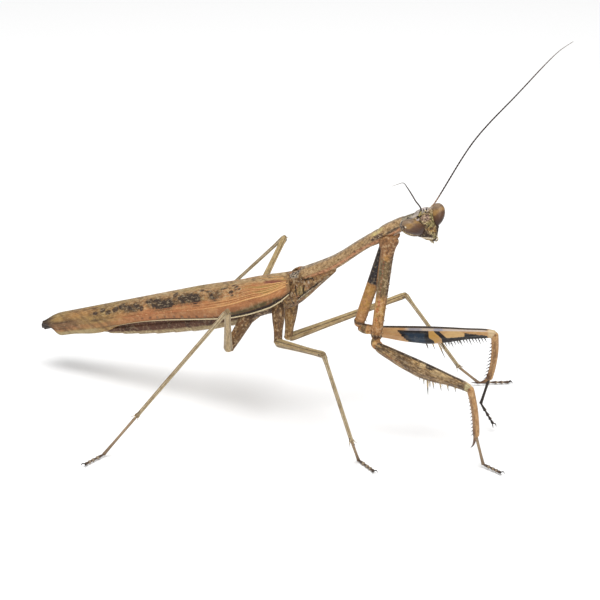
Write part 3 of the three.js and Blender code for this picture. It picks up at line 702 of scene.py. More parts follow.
# ---- finishes ----
class Finish(Nodes):
    """A material in the making. Sizes are millimetres, and places are those kept on the piece."""

    def __init__(self, name):
        self.material = bpy.data.materials.new(name)
        self.material.use_nodes = True
        self.tree = self.material.node_tree
        self.tree.nodes.clear()
        vector = self.read("ShaderNodeAttribute", {}, "Vector", attribute_name="place")
        parts = self.node("ShaderNodeSeparateXYZ", {"Vector": vector}).outputs
        self.share, self.side, self.back = (Reading(self, parts[axis]) for axis in "XYZ")
        self.plane = self.share, self.back

    def spot(self):
        """A point's place along the object's axes."""
        inputs = {"Vector": self.read("ShaderNodeTexCoord", {}, "Object"), "Scale": (1 / MM, 1 / MM, 1 / MM)}
        return self.read("ShaderNodeMapping", inputs, "Vector", vector_type="POINT")

    def noise(self, size, vector=None, detail=3.0, roughness=0.55):
        """Cloudy variation from 0 to 1, with clouds of about the given size."""
        inputs = {"Vector": vector or self.spot(), "Scale": 1 / size}
        inputs |= {"Detail": detail, "Roughness": roughness}
        return self.read("ShaderNodeTexNoise", inputs, "Fac")

    def cells(self, size, vector=None, feature="F1"):
        """Distance from the middles, or from the edges, of scattered cells."""
        inputs = {"Vector": vector or self.spot(), "Scale": 1 / size}
        return self.read("ShaderNodeTexVoronoi", inputs, "Distance", feature=feature)

    def patch(self, middle_x, middle_y, reach_x, reach_y, soft=0.25, ragged=None, on=None):
        """A soft oval on the piece; a noise makes its edge ragged."""
        x, y = on or self.plane
        far = ((x - middle_x) * (1 / reach_x)).power(2) + ((y - middle_y) * (1 / reach_y)).power(2)
        if ragged is not None:
            far = far + (ragged - 0.5) * 2.2
        return far.fall(1 - soft, 1 + soft)

    def several(self, patches, soft=0.25, ragged=None):
        """The sum of ovals, each as (middle x, middle y, reach x, reach y)."""
        return sum((self.patch(*patch, soft, ragged) for patch in patches), 0)

    def stroke(self, start, end, reach, ragged, on):
        """A soft straight line on the piece from one place to another."""
        x, y = on or self.plane
        step_x, step_y = end[0] - start[0], end[1] - start[1]
        length = math.hypot(step_x, step_y)
        along = (x - start[0]) * (step_x / length) + (y - start[1]) * (step_y / length)
        off = ((y - start[1]) * (step_x / length) - (x - start[0]) * (step_y / length)).size()
        if ragged is not None:
            off = off + (ragged - 0.5) * (reach * 2.5)
        return along.band(0, length, reach) * off.fall(reach * 0.5, reach * 1.4)

    def strokes(self, lines, reach, ragged=None, on=None):
        return sum((self.stroke(start, end, reach, ragged, on) for start, end in lines), 0)

    def line(self, places, reach, ragged=None, on=None):
        """A soft line on the piece that bends at each of some places."""
        return self.strokes(zip(places, places[1:]), reach, ragged, on)

    def mottled(self, tint, amount, size=0.3, vector=None):
        """Lays dark and pale flecks over a colour, as the weathered cuticle has all over."""
        flecks = self.noise(size, vector, roughness=0.65)
        fine = self.noise(size * 0.55, vector, detail=2.0)
        tint = self.blend(flecks.rise(0.5, 0.62) * amount, tint, "38271a")
        tint = self.blend(fine.rise(0.56, 0.68) * (amount * 0.6), tint, "2c1e15")
        return self.blend(flecks.fall(0.37, 0.47) * (amount * 0.75), tint, "dcc49c")

    def along_limb(self, length, slim):
        """Places for a grain that runs along a limb of a given length."""
        return self.together(self.share * (length / slim), self.side, self.back)

    def blend(self, share, first, second):
        inputs = {0: share, 6: first, 7: second}
        return self.read("ShaderNodeMix", inputs, 2, data_type="RGBA")

    def layers(self, base, *layers):
        """A base colour with further colours laid over it, each as (colour, how much of it)."""
        for tint, share in layers:
            base = self.blend(share, base, tint)
        return base

    def close(self, tint, roughness, relief, depth, gloss=0.3, coat=0.0, tone=0.14):
        """Ends the material: a colour under a dark tone, its roughness, and a relief of a given depth."""
        bump = self.read("ShaderNodeBump", {"Height": relief, "Distance": depth * MM}, "Normal")
        inputs = {
            "Base Color": self.blend(tone, tint, "24160e"), "Roughness": roughness, "Normal": bump,
            "Specular IOR Level": gloss, "Coat Weight": coat, "Coat Roughness": 0.15,
        }
        self.node("ShaderNodeOutputMaterial", {"Surface": self.read("ShaderNodeBsdfPrincipled", inputs)})
        return self.material


def head_finish():
    f = Finish("head_shell")
    out, left, up = f.share, f.side, f.back
    f.plane, mirrored = (left, up), (left.size(), up)
    cloud, grain, tuft = f.noise(0.5), f.noise(0.14, detail=4.0), f.noise(0.24)
    beads = f.cells(0.19)
    front = out.rise(0.1, 0.45)
    crown = (up + left.size() * 0.12).rise(1.02, 1.22)
    sockets = f.several([(x, z, 0.17, 0.14) for x, z in SOCKETS.values()], 0.4, grain)
    # Painted highlights: pale-yellow patches on the upper rim of each feeler socket.
    rings = f.several([(x + 0.08, z + 0.14, 0.2, 0.1) for x, z in SOCKETS.values()], 0.4, grain)
    streaks = f.strokes(
        [
            ((-0.95, 0.8), (-0.5, 0.96)), ((0.2, 0.95), (0.5, 1.05)), ((-0.5, 1.16), (-0.2, 1.3)),
            ((0.35, 1.12), (0.75, 1.3)), ((0.1, 1.2), (0.35, 1.38)), ((-0.7, 1.1), (-0.85, 1.0)),
        ],
        0.05, tuft,
    )
    lilac = f.several([(-0.98, 0.72, 0.2, 0.12), (0.35, 1.32, 0.3, 0.12)], 0.5, tuft)
    cheek = f.patch(-1.05, -0.5, 0.75, 0.85, 0.5, cloud)
    chin = f.patch(0.1, -1.35, 0.55, 0.6, 0.5, cloud)
    rim_places = [(1.5, -1.0), (1.12, -1.2), (0.66, -1.43), (0.25, -1.7)]
    inner_places = [(x - 0.1, z + 0.2) for x, z in rim_places]
    rim = f.line(rim_places, 0.07, on=mirrored)
    shadow = f.line(inner_places, 0.13, grain, mirrored)
    below = (up + left.size() * 0.62).fall(-1.9, -1.8)
    nape = out.fall(-0.35, 0.1) * up.rise(0.1, 0.6)
    ochre_places = [(-0.25, -0.75, 0.45, 0.3), (-0.8, -0.75, 0.3, 0.25), (0.2, -1.0, 0.3, 0.3)]
    ochre = f.several(ochre_places, 0.6, tuft)
    green_places = [(0, -0.3, 0.6, 0.3), (-0.2, 1.15, 0.4, 0.2), (0.65, 0, 0.25, 0.7)]
    green = f.several(green_places, 0.5, cloud)
    jaw_lines = f.strokes([((1.0, -0.8), (0.55, -1.2)), ((0.9, -0.55), (0.6, -0.95))], 0.2, tuft, mirrored)
    # Pale dots on the raised grains: partly the face's own cream and lilac speckling, partly painted
    # highlight on the grains' tops.
    dots = beads.fall(0.15, 0.42)
    tint = f.layers(
        "8f7752",
        ("6e5838", cloud.rise(0.46, 0.66) * 0.8),
        ("857c48", green * 0.7),
        ("9c7c74", f.patch(-0.1, 0.52, 0.5, 0.32, 0.6, tuft) * 0.7),
        ("7c7645", chin * 0.6),
        ("5c3e22", cheek * 0.8),
        ("94703a", ochre * 0.8),
        ("74703f", (left + out * 0.1).rise(0.62, 0.8) * up.fall(0.2, 0.5) * 0.7),
        ("e2d09c", dots * tuft.rise(0.42, 0.54) * 0.9),
        ("9a7f7c", dots * tuft.band(0.3, 0.4, 0.03) * 0.6),
        ("33241a", beads.rise(0.48, 0.75) * 0.85),
        ("3b2818", jaw_lines * 0.8),
        ("b5aca6", crown * 0.7),
        ("8d8578", nape * 0.6),
        ("cfc2c4", lilac * tuft.fall(0.5, 0.6) * 0.9),
        # the painted highlights above the sockets
        ("f0dfae", rings * 0.95),
        ("160f0c", (streaks + sockets).rise(0.1, 0.8) * front),
        ("2c1c12", shadow.rise(0.0, 0.8) * 0.85),
        ("5a4630", below * 0.7),
        ("dccbb0", rim.rise(0.0, 0.8) * 0.95),
    )
    relief = grain * 0.4 + beads.fall(0.0, 0.7) * 1.1
    return f.close(f.mottled(tint, 0.35, 0.26), 0.35 + grain * 0.3, relief, 0.035, tone=0.1)


def eye_finish():
    f = Finish("eye")
    out, apart, up = f.share, f.side, f.back
    cloud, fleck = f.noise(0.5, detail=2.0), f.noise(0.13)
    facets = f.cells(0.035)
    behind = out.fall(-0.12, 0.14)
    pupil = f.patch(0.2, 0.46, 0.11, 0.2, 0.4) * apart.rise(0.5, 0.7)
    tint = f.layers(
        "5e432e",
        ("806244", up.rise(-0.1, 0.5)),
        ("a07c4a", f.patch(0.8, 0.45, 0.4, 0.28, 0.8) * 0.85),
        ("8b7660", up.rise(0.5, 0.95) * 0.85),
        ("573c2e", out.rise(0.75, 1.15) * up.fall(0.2, 0.6) * 0.5),
        ("36221c", up.fall(-0.6, 0.1) * 0.85),
        ("4a2c24", up.fall(-0.95, -0.75) * 0.8),
        ("3f2b26", cloud.rise(0.5, 0.7) * 0.4),
        ("594a42", behind * 0.85),
        ("1c1412", behind * fleck.rise(0.46, 0.58) * 0.85),
        ("c9b6a0", behind * fleck.fall(0.36, 0.46) * 0.8),
        ("140d0b", pupil),
        # Painted highlight: a small pale spot beside the pseudopupil, at a fixed place on each eye.
        ("f0e2c8", f.patch(0.46, 0.44, 0.08, 0.09, 0.7) * apart.rise(0.5, 0.7) * 0.9),
    )
    return f.close(tint, 0.3 + fleck * 0.12, facets, 0.006, gloss=0.25, coat=0.07, tone=0.06)


def antenna_finish(side):
    """The feelers, of which the left one is tan for a way above its base and the right one ends pale."""
    f = Finish(f"antenna_{side}")
    left_one = float(side == "left")
    grain = f.noise(0.1)
    tint = f.layers(
        "2a1c17",
        ("60493a", f.share.rise(0.6, 1.0)),
        ("a89e94", f.share.rise(0.56, 0.9) * (1 - left_one) * 0.7),
        ("5c4434", f.side.fall(0.2, 0.6) * 0.4),
        ("94735a", f.share.fall(0.06, 0.12) * left_one * 0.9),
        ("b8a998", f.share.fall(0.034, 0.042) * grain.rise(0.4, 0.5) * left_one * 0.9),
        ("a8975f", f.share.fall(0.022, 0.032) * (1 - left_one) * 0.9),
    )
    return f.close(tint, 0.4 + grain * 0.2, grain, 0.005)


def mouth_finish():
    f = Finish("mouthparts")
    grain = f.noise(0.12, detail=4.0)
    tint = f.layers(
        "8a7248",
        ("3d2c1c", grain.rise(0.42, 0.56) * 0.9),
        ("e8dcc0", f.side.rise(0.5, 0.9) * 0.85),
        ("1d1410", f.side.size().fall(0.12, 0.45) * 0.9),
    )
    return f.close(f.mottled(tint, 0.5, 0.2), 0.35 + grain * 0.2, grain, 0.01)


def pronotum_finish():
    f = Finish("pronotum_shell")
    flank = f.side.size()
    grain, cloud, fleck = f.noise(0.13, detail=5.0), f.noise(0.9), f.noise(0.22, detail=2.0)
    dots = f.cells(0.55)
    front = f.share.rise(0.66, 0.78)
    margin = f.back.band(-0.72, -0.42, 0.08)
    line = f.back.band(-0.36, -0.26, 0.04)
    scribble = f.patch(0.775, -0.02, 0.06, 0.3, 0.4, fleck) * flank.rise(0.5, 0.8)
    smudge = f.patch(0.9, -0.22, 0.062, 0.24, 0.5, fleck) * flank.rise(0.5, 0.8)
    pale = f.patch(0.78, 0.62, 0.06, 0.25, 0.6, grain)
    tint = f.layers(
        "b08e64",
        ("8f7048", cloud.rise(0.45, 0.72) * 0.75),
        ("cdb083", grain.rise(0.5, 0.75) * 0.7),
        ("7e6242", grain.band(0.3, 0.42, 0.04) * 0.6),
        ("c9a35f", fleck.rise(0.6, 0.72) * f.back.band(-0.3, 0.5, 0.15) * 0.7),
        ("cf8d66", (margin + line).rise(0.1, 0.9) * 0.75),
        ("8a6a48", f.back.band(-0.41, -0.37, 0.03) * 0.7),
        ("9c9284", f.back.rise(0.72, 0.95) * 0.6),
        ("cdbd7c", pale * 0.7),
        ("4c3224", dots.fall(0.1, 0.17) * f.back.band(-0.35, 0.85, 0.1) * 0.9),
        ("43302a", scribble * grain.rise(0.36, 0.5) * 0.95),
        ("c3b5a8", scribble * grain.fall(0.34, 0.42) * 0.7),
        ("4a4038", smudge * 0.85),
        ("8a6242", front * f.back.fall(-0.8, -0.6) * 0.5),
        ("3c2d20", f.back.band(0.08, 0.2, 0.04) * front * grain.rise(0.45, 0.6) * 0.5),
        ("7d5f40", f.share.fall(0.02, 0.09) * 0.6),
    )
    return f.close(f.mottled(tint, 0.5, 0.28), 0.42 + grain * 0.3, grain + cloud * 0.5, 0.035)


def neck_finish():
    f = Finish("neck")
    grain, fleck = f.noise(0.12, detail=4.0), f.noise(0.3, detail=2.0)
    tint = f.layers(
        "857a52",
        ("a79e8c", f.back.rise(0.2, 0.8) * 0.7),
        ("4c3d2e", fleck.rise(0.5, 0.62) * 0.7),
        ("2a2018", f.back.band(0.86, 0.98, 0.03) * 0.6),
        ("120d0b", f.patch(0.61, 0.7, 0.055, 0.12, 0.4) * f.side.size().rise(0.5, 0.6)),
    )
    return f.close(f.mottled(tint, 0.4, 0.25), 0.45 + grain * 0.25, grain, 0.03)


def thorax_finish():
    """Laid out by millimetres behind the wing roots and above the body's axis."""
    f = Finish("thorax_shell")
    behind, above = f.share, f.back
    flank = f.side.size().rise(0.5, 0.9)
    grain, cloud, fleck = f.noise(0.14, detail=5.0), f.noise(0.8), f.noise(0.26)
    dots = f.cells(0.5)
    seams = f.strokes(
        [
            ((-3.0, 0.22), (-1.95, 0.3)), ((-1.95, -0.2), (-1.5, -1.15)), ((-3.3, -0.4), (-1.7, -1.05)),
            ((-1.7, -1.05), (-0.55, -1.62)), ((-1.0, -0.1), (-0.75, -1.2)), ((-0.1, -1.5), (0.1, -2.1)),
        ],
        0.07, fleck,
    )
    plate = f.patch(-1.45, -0.95, 0.4, 0.75, 0.35, fleck)
    hinge = f.patch(-1.2, 1.0, 0.42, 0.34, 0.5, fleck)
    tint = f.layers(
        "886540",
        ("573c22", cloud.rise(0.44, 0.62) * 0.75),
        ("b08d5c", fleck.rise(0.52, 0.64) * 0.85),
        ("96603c", cloud.fall(0.36, 0.46) * 0.6),
        ("9a8452", plate * 0.8),
        ("a37c50", above.band(-0.1, 0.9, 0.3) * behind.fall(-2.6, -1.6) * 0.4),
        ("a39a8c", hinge * 0.75),
        ("241a14", hinge * grain.rise(0.47, 0.55)),
        ("c9bfae", fleck.band(0.3, 0.38, 0.02) * flank * 0.55),
        ("22170f", seams.rise(0.1, 0.8) * 0.9),
        ("2a1b12", dots.fall(0.14, 0.22) * 0.9),
        ("3c2b1e", above.fall(-2.2, -1.6) * cloud.rise(0.4, 0.5) * 0.6),
    )
    return f.close(f.mottled(tint, 0.5, 0.3), 0.42 + grain * 0.3, grain + fleck, 0.05)


def walking_coxa_finish():
    f = Finish("walking_coxa")
    grain, cloud = f.noise(0.13, detail=5.0), f.noise(0.6)
    streak = f.noise(0.35, f.along_limb(4.5, 2.5))
    dots = f.cells(0.42)
    outer = f.side.fall(-0.3, 0.4)
    tint = f.layers(
        "94703f",
        ("5e4128", outer * 0.8),
        ("b98f5c", streak.rise(0.5, 0.7) * 0.6),
        ("5f452c", (streak.band(0.3, 0.42, 0.04)) * 0.75),
        ("96593c", cloud.rise(0.55, 0.75) * 0.4),
        ("6e5236", f.back.size().rise(0.75, 0.97) * 0.6),
        ("35251b", dots.fall(0.13, 0.21) * outer * 0.9),
        ("c9b58c", f.share.band(0.93, 1.2, 0.03) * 0.6),
        ("2e2018", f.share.fall(0.1, 0.32) * cloud.rise(0.38, 0.5) * 0.75),
    )
    return f.close(f.mottled(tint, 0.45, 0.3), 0.42 + grain * 0.3, grain + streak, 0.035)


def abdomen_finish():
    f = Finish("abdomen_shell")
    grain, cloud = f.noise(0.16, detail=5.0), f.noise(1.1)
    fleck = f.noise(0.3, detail=2.0)
    below = f.back.fall(-0.62, -0.42)
    tint = f.layers(
        "563423",
        ("3c2418", cloud.rise(0.42, 0.68)),
        ("7d5236", grain.rise(0.5, 0.7) * 0.6),
        ("a8916a", below * 0.9),
        ("cdbb92", below * fleck.rise(0.5, 0.7) * 0.7),
        ("7a6342", below * fleck.band(0.32, 0.4, 0.03) * 0.7),
        ("a08660", f.back.rise(0.3, 0.6) * 0.5),
    )
    return f.close(f.mottled(tint, 0.22, 0.35), 0.45 + grain * 0.25, grain + fleck * 0.5, 0.03)


def cercus_finish():
    f = Finish("cercus")
    grain = f.noise(0.12, detail=4.0)
    tint = f.layers("9d7f58", ("6f5238", grain.rise(0.45, 0.7)), ("4f3a2a", f.side.fall(0.1, 0.6) * 0.7))
    return f.close(tint, 0.45 + grain * 0.2, grain, 0.01)


# Dark marks on a fore wing: share of the length, place across, and how far each reaches both ways.
WING_MARKS = [
    (0.281, 0.42, 0.02, 0.1), (0.36, 0.4, 0.02, 0.11), (0.386, 0.46, 0.02, 0.1), (0.417, 0.43, 0.019, 0.12),
    (0.462, 0.4, 0.017, 0.12), (0.489, 0.37, 0.022, 0.11), (0.52, 0.44, 0.02, 0.14),
    (0.55, 0.53, 0.015, 0.07), (0.606, 0.42, 0.018, 0.12), (0.638, 0.42, 0.015, 0.09),
    (0.664, 0.52, 0.014, 0.09),
]
SMALL_WING_MARKS = [
    (0.2, 0.53, 0.008, 0.07), (0.187, 0.48, 0.006, 0.03), (0.218, 0.44, 0.009, 0.04),
    (0.214, 0.37, 0.006, 0.025), (0.214, 0.62, 0.012, 0.03), (0.25, 0.56, 0.014, 0.03),
    (0.31, 0.54, 0.013, 0.03), (0.34, 0.6, 0.011, 0.04), (0.445, 0.6, 0.01, 0.08), (0.58, 0.36, 0.009, 0.07),
    (0.69, 0.46, 0.013, 0.09), (0.72, 0.4, 0.012, 0.07), (0.745, 0.5, 0.012, 0.07), (0.775, 0.44, 0.01, 0.06),
]


def tegmen_finish():
    f = Finish("tegmen")
    share, across, over = f.share, f.side, f.back
    f.plane = share, across
    along, down = share * TEGMEN_LENGTH, across * TEGMEN_BREADTH
    flat = f.together(along, down)
    long_grain = f.noise(0.5, f.together(share * (TEGMEN_LENGTH / 7), down), detail=4.0)
    slant = f.noise(0.55, f.together(along * 0.55 - across * 2.6, across * 0.9), detail=4.0)
    grain, cloud = f.noise(0.14, flat, detail=4.0), f.noise(1.2, flat)
    net = f.cells(0.42, f.together(share * (TEGMEN_LENGTH / 1.5), down), "DISTANCE_TO_EDGE")
    mesh = net.fall(0.02, 0.09)
    above = across.rise(0.5, 0.72)
    lump = f.noise(0.3, flat)
    marks = f.several(WING_MARKS, 0.5, lump)
    flecks = f.several(SMALL_WING_MARKS, 0.5, grain)
    halo_places = [(x, y, x_reach * 1.5, y_reach * 1.45) for x, y, x_reach, y_reach in WING_MARKS]
    halo = f.several(halo_places, 0.8, lump)
    mottled = across.band(0.34, 0.66, 0.05) * share.band(0.18, 0.78, 0.05)
    long_edge = share.fall(0.24, 0.34)
    edge = (over + (grain - 0.5) * 0.02).band(0.004, 0.05, 0.01) * long_edge
    thin_edge = over.band(0.008, 0.028, 0.005) * share.fall(0.5, 0.56) * (0.6 + cloud * 0.5)
    smoky = (over + (grain - 0.5) * 0.08).band(0.0, 0.1, 0.04) * share.fall(0.25, 0.29)
    green = over.band(0.05, 0.095, 0.02) * share.band(0.05, 0.25, 0.02) * cloud.rise(0.36, 0.5)
    maroon_places = [(0.3, 1.75), (1.06, 2.5), (2.03, 2.9), (3.0, 3.0)]
    maroon = f.line(maroon_places, 0.3, on=(along, down))
    dashes = over.band(0.03, 0.065, 0.012) * share.band(0.3, 0.62, 0.02)
    dashes = dashes * (share + cloud * 0.03).wave(0.031).rise(0.6, 0.9)
    root_grain = share.fall(0.1, 0.26) * across.band(0.3, 0.6, 0.05) * long_grain.band(0.36, 0.5, 0.04)
    tail = share.rise(0.56, 0.78)
    tint = f.layers(
        "bd7f50",
        ("9c633c", long_grain.rise(0.48, 0.66) * 0.8),
        ("d6a26a", long_grain.band(0.3, 0.42, 0.04) * 0.6),
        ("9a8446", root_grain * 0.7),
        ("96663f", over.band(-0.02, 0.12, 0.06) * share.fall(0.4, 0.6) * 0.7),
        ("ac8c60", above),
        ("c7b18c", above * slant.rise(0.52, 0.66) * 0.8),
        ("7c6342", above * slant.band(0.3, 0.43, 0.03) * 0.75),
        ("9a8148", above * share.band(0.34, 0.44, 0.03) * 0.5),
        ("b08a58", mottled * 0.55),
        ("cdb98c", mottled * mesh * 0.55),
        ("8b7a48", mottled * cloud.rise(0.52, 0.68) * 0.5),
        ("a08650", tail * 0.8),
        ("b98550", share.rise(0.74, 0.8) * across.band(0.4, 0.75, 0.1) * share.fall(0.86, 0.93) * 0.6),
        ("7a5642", share.rise(0.8, 0.88) * across.band(0.12, 0.36, 0.06) * 0.75),
        ("b0754c", over.band(0.0, 0.09, 0.02) * share.rise(0.28, 0.33) * 0.5),
        ("75583a", tail * slant.rise(0.44, 0.6) * 0.65),
        ("523c28", tail * long_grain.rise(0.52, 0.66) * 0.75),
        ("7c3f33", maroon.rise(0.0, 0.9) * 0.85),
        ("8a6b48", share.fall(0.005, 0.02) * 0.85),
        ("6b482c", smoky * 0.75),
        ("4c4726", green * 0.85),
        ("15100e", edge * 0.97),
        ("261a14", thin_edge * 0.85),
        ("3c2c24", dashes * 0.55),
        ("b3a076", share.rise(0.74, 0.8) * over.fall(-0.035, 0.0) * 0.8),
        ("7a4a30", mottled * grain.rise(0.5, 0.6) * 0.45),
        ("6b5236", halo * (0.4 + grain * 0.8) * 0.8),
        ("382a26", flecks.rise(0.1, 0.9) * 0.85),
        ("2d2421", marks.rise(0.15, 0.8) * (1 - mesh * 0.1) * (0.9 - slant.rise(0.46, 0.58) * 0.55)),
        ("463930", share.rise(0.94, 0.98) * 0.9),
        ("2b211c", share.rise(0.97, 0.992) * 0.8),
    )
    relief = mesh * (0.4 + mottled * 0.6) + long_grain + grain * 0.3
    tint = f.mottled(tint, 0.2 + above * 0.2 + mottled * 0.25, 0.3, f.together(along * 0.6, down))
    return f.close(tint, 0.38 + grain * 0.25, relief, 0.035, tone=0.17)


def ridge_finish():
    f = Finish("ridge")
    grain = f.noise(0.2)
    return f.close(f.layers("b0a38b", ("7c6a52", grain.rise(0.45, 0.6))), 0.45 + grain * 0.2, grain, 0.01)


def vein_finish():
    f = Finish("wing_vein")
    grain = f.noise(0.2)
    tint = f.layers("d3a168", ("ae7048", f.share.rise(0.3, 0.7)), ("e0bd86", grain.rise(0.5, 0.7) * 0.6))
    return f.close(tint, 0.4 + grain * 0.15, grain, 0.006, tone=0.08)


def wing_rim_finish():
    f = Finish("wing_rim")
    grain = f.noise(0.25)
    worn = f.share.rise(0.55, 0.9)
    tint = f.layers("d9c7a2", ("b09a74", grain.rise(0.5, 0.7) * 0.7), ("a58c66", worn * 0.7))
    return f.close(tint, 0.4 + grain * 0.15, grain, 0.006)


def hindwing_finish():
    f = Finish("hindwing")
    across = f.side
    grain = f.noise(0.15, detail=5.0)
    net = f.cells(0.3, f.together(f.share * 7.5, across * 1.6), "DISTANCE_TO_EDGE")
    tint = f.layers(
        "3d342f",
        ("2a221f", grain.rise(0.45, 0.65)),
        ("5c5048", net.fall(0.03, 0.1) * 0.7),
        ("6a5a48", f.share.fall(0.3, 0.8) * 0.5),
    )
    return f.close(tint, 0.35 + grain * 0.3, net, 0.02)


def fore_coxa_finish():
    f = Finish("fore_coxa")
    share, side, back = f.share, f.side, f.back
    grain, cloud = f.noise(0.13, detail=5.0), f.noise(0.5)
    streak = f.noise(0.35, f.along_limb(10.5, 3.0))
    outer = side.fall(-0.2, 0.15)
    inner = 1 - outer
    drab = share.band(0.21, 0.57, 0.04) * outer
    lower = share.band(0.57, 0.84, 0.03)
    oval_places = [(0.63, 0.02, 0.022, 0.2), (0.7, -0.1, 0.022, 0.22), (0.79, -0.05, 0.018, 0.2)]
    core_places = [(0.63, 0.02, 0.012, 0.1), (0.7, -0.1, 0.012, 0.11), (0.79, -0.05, 0.01, 0.1)]
    ovals, cores = (f.several(places, 0.4) for places in (oval_places, core_places))
    worn = back.rise(0.8, 0.95) * share.band(0.17, 0.56, 0.02) * (grain + 0.1).rise(0.4, 0.55)
    beads = f.patch(1.0, -0.02, 0.35, 0.13, 0.4, on=((share * 34).wave(1.0), back))
    beads = beads * share.band(0.22, 0.56, 0.02)
    slant = share - back * 0.3
    night = slant.rise(0.255, 0.31) * (share + cloud * 0.04).fall(0.565, 0.585) * side.rise(0.3, 0.5)
    tint = f.layers(
        "b98552",
        ("96663e", cloud.rise(0.45, 0.7) * 0.7),
        ("c99a62", streak.rise(0.52, 0.68) * 0.6),
        ("8a5a3a", share.band(0.02, 0.17, 0.03) * grain.rise(0.42, 0.55) * 0.6),
        ("776240", drab * 0.9),
        ("5c4a30", drab * streak.rise(0.5, 0.62) * 0.7),
        ("6c6a4c", f.patch(0.35, -0.55, 0.025, 0.5, 0.5) * outer * 0.6),
        ("b98748", f.patch(0.2, 0.35, 0.03, 0.4, 0.5, grain) * outer * 0.85),
        ("9c4a34", beads * outer * 0.75),
        ("c8994f", lower * cloud.rise(0.4, 0.6) * 0.7),
        ("c4563c", (ovals - cores).rise(0.1, 0.8) * outer * 0.75),
        ("2c221c", worn * 0.85),
        ("6d4f36", back.rise(0.85, 0.97) * 0.5),
        ("141c26", night * 0.96),
        ("51606e", night * grain.rise(0.56, 0.68) * 0.8),
        ("caa373", (slant.band(0.22, 0.255, 0.01)) * inner * share.band(0.2, 0.6, 0.02) * 0.7),
        ("33261e", share.band(0.935, 0.965, 0.008) * (cloud + 0.15).rise(0.4, 0.6) * 0.85),
    )
    tint = f.blend(share.fall(0.1, 0.24) * outer * 0.45, tint, "6b4a2e")
    return f.close(f.mottled(tint, 0.32 + outer * 0.2, 0.27), 0.38 + grain * 0.3, grain + streak * 0.6, 0.035)


def fore_femur_finish():
    f = Finish("fore_femur")
    share, side, back = f.share, f.side, f.back
    grain, cloud = f.noise(0.13, detail=5.0), f.noise(0.7)
    streak = f.noise(0.3, f.along_limb(13.0, 4.5), detail=5.0)
    fine = f.noise(0.16, f.along_limb(13.0, 3.0), detail=4.0)
    inner = side.rise(-0.12, 0.12)
    outer = 1 - inner
    rust = f.several([(0.17, 0.05, 0.06, 0.07), (0.27, 0.1, 0.03, 0.08)], 0.5, grain)
    bark = [
        ("70522e", streak.rise(0.44, 0.6) * 0.9),
        ("b89460", streak.band(0.3, 0.43, 0.03) * 0.75),
        ("4a3520", fine.rise(0.53, 0.65) * 0.8),
        ("c9ac7c", share.band(0.62, 0.8, 0.04) * back.rise(0.1, 0.7) * 0.6),
        ("a79682", back.fall(-0.75, -0.5) * share.fall(0.4, 0.5) * 0.7),
        ("b5682f", rust * 0.8),
        ("d0a878", f.patch(0.26, 0.25, 0.035, 0.06, 0.5, grain) * 0.8),
        ("231a16", f.patch(0.59, 1.12, 0.05, 0.42, 0.4, grain) * 0.95),
        ("d5ba8c", f.patch(0.52, 0.95, 0.03, 0.3, 0.5, grain) * 0.8),
        ("46341f", share.fall(0.3, 0.42) * streak.rise(0.42, 0.55) * back.rise(-0.5, 0.0) * 0.6),
        ("241a14", back.fall(-0.97, -0.86) * share.band(0.4, 0.92, 0.04) * 0.8),
        ("1f1713", back.rise(0.95, 0.985) * share.band(0.03, 0.95, 0.02) * 0.85),
        ("46362a", f.patch(0.915, -0.1, 0.04, 0.8, 0.8, grain) * 0.8),
        ("5c4838", share.band(0.79, 0.86, 0.02) * back.fall(-0.2, 0.2) * 0.6),
        ("4a3828", f.patch(0.54, -0.75, 0.06, 0.25, 0.5, grain) * 0.7),
        ("bdb184", share.rise(0.945, 0.965) * 0.85),
        ("8a7440", share.rise(0.945, 0.965) * back.fall(-0.6, -0.1) * 0.7),
    ]
    start = 0.272 - back * 0.055 + (grain - 0.5) * 0.06
    night_end = 0.478 + (back + 0.2).band(-2, 0, 0.35) * 0.035
    night = (share - start).rise(-0.008, 0.012) * (share - night_end).fall(-0.004, 0.004)
    night = night * back.fall(0.7, 0.78)
    core = (share - start).rise(0.02, 0.06) * share.fall(0.43, 0.46) * back.band(-0.7, 0.5, 0.14)
    bar_middle = 0.597 - back.rise(-0.3, 1.1) * 0.07
    bar = (share - bar_middle).band(-0.02, 0.023, 0.004) * back.fall(0.7, 0.76)
    edge = (back + 0.12 + (grain - 0.5) * 0.3).band(-2, 0.0, 0.1) * share.band(0.58, 0.8, 0.008)
    wedge_top = back + (share - 0.76) * 3.0 - 0.5 + (grain - 0.5) * 0.6
    wedge = wedge_top.band(-3, 0.0, 0.1) * share.band(0.758, 0.935, 0.006)
    stripe = back.band(0.74, 0.94, 0.03) * share.band(0.3, 0.93, 0.03)
    enamel = [
        ("cda772", cloud.rise(0.45, 0.65) * 0.6),
        ("c4964a", f.patch(0.515, 0.0, 0.045, 0.8, 0.3) * 0.85),
        ("d6b078", f.patch(0.68, 0.2, 0.085, 0.6, 0.3) * 0.9),
        ("15161a", (night + bar + edge + wedge * (0.55 + grain * 0.7)).rise(0.1, 0.8)),
        ("1c3448", core * night * 0.95),
        ("5c5852", wedge * streak.rise(0.5, 0.65) * 0.6),
        ("c2b3a6", stripe * (0.5 + grain * 0.8).rise(0.4, 0.8) * 0.95),
        ("7d8294", stripe * share.band(0.32, 0.42, 0.02) * 0.7),
        ("8a8ea0", stripe * share.band(0.52, 0.59, 0.015) * 0.8),
        ("4a3a30", f.patch(0.045, 0.3, 0.012, 0.7, 0.5, grain) * 0.7),
        ("151110", back.rise(0.925, 0.955) * share.band(0.03, 0.94, 0.02) * 0.95),
        ("cdb58e", share.rise(0.93, 0.95) * 0.85),
    ]
    tint = f.layers("9a7b52", *bark)
    tint = f.blend(inner, tint, f.layers("bf9160", *enamel))
    relief = (grain + streak * 1.2) * (0.35 + outer * 0.65)
    tint = f.mottled(tint, 0.08 + outer * 0.35, 0.24, f.along_limb(26.0, 3.2))
    return f.close(tint, 0.3 + outer * 0.15 + grain * 0.2, relief, 0.035, coat=0.1)


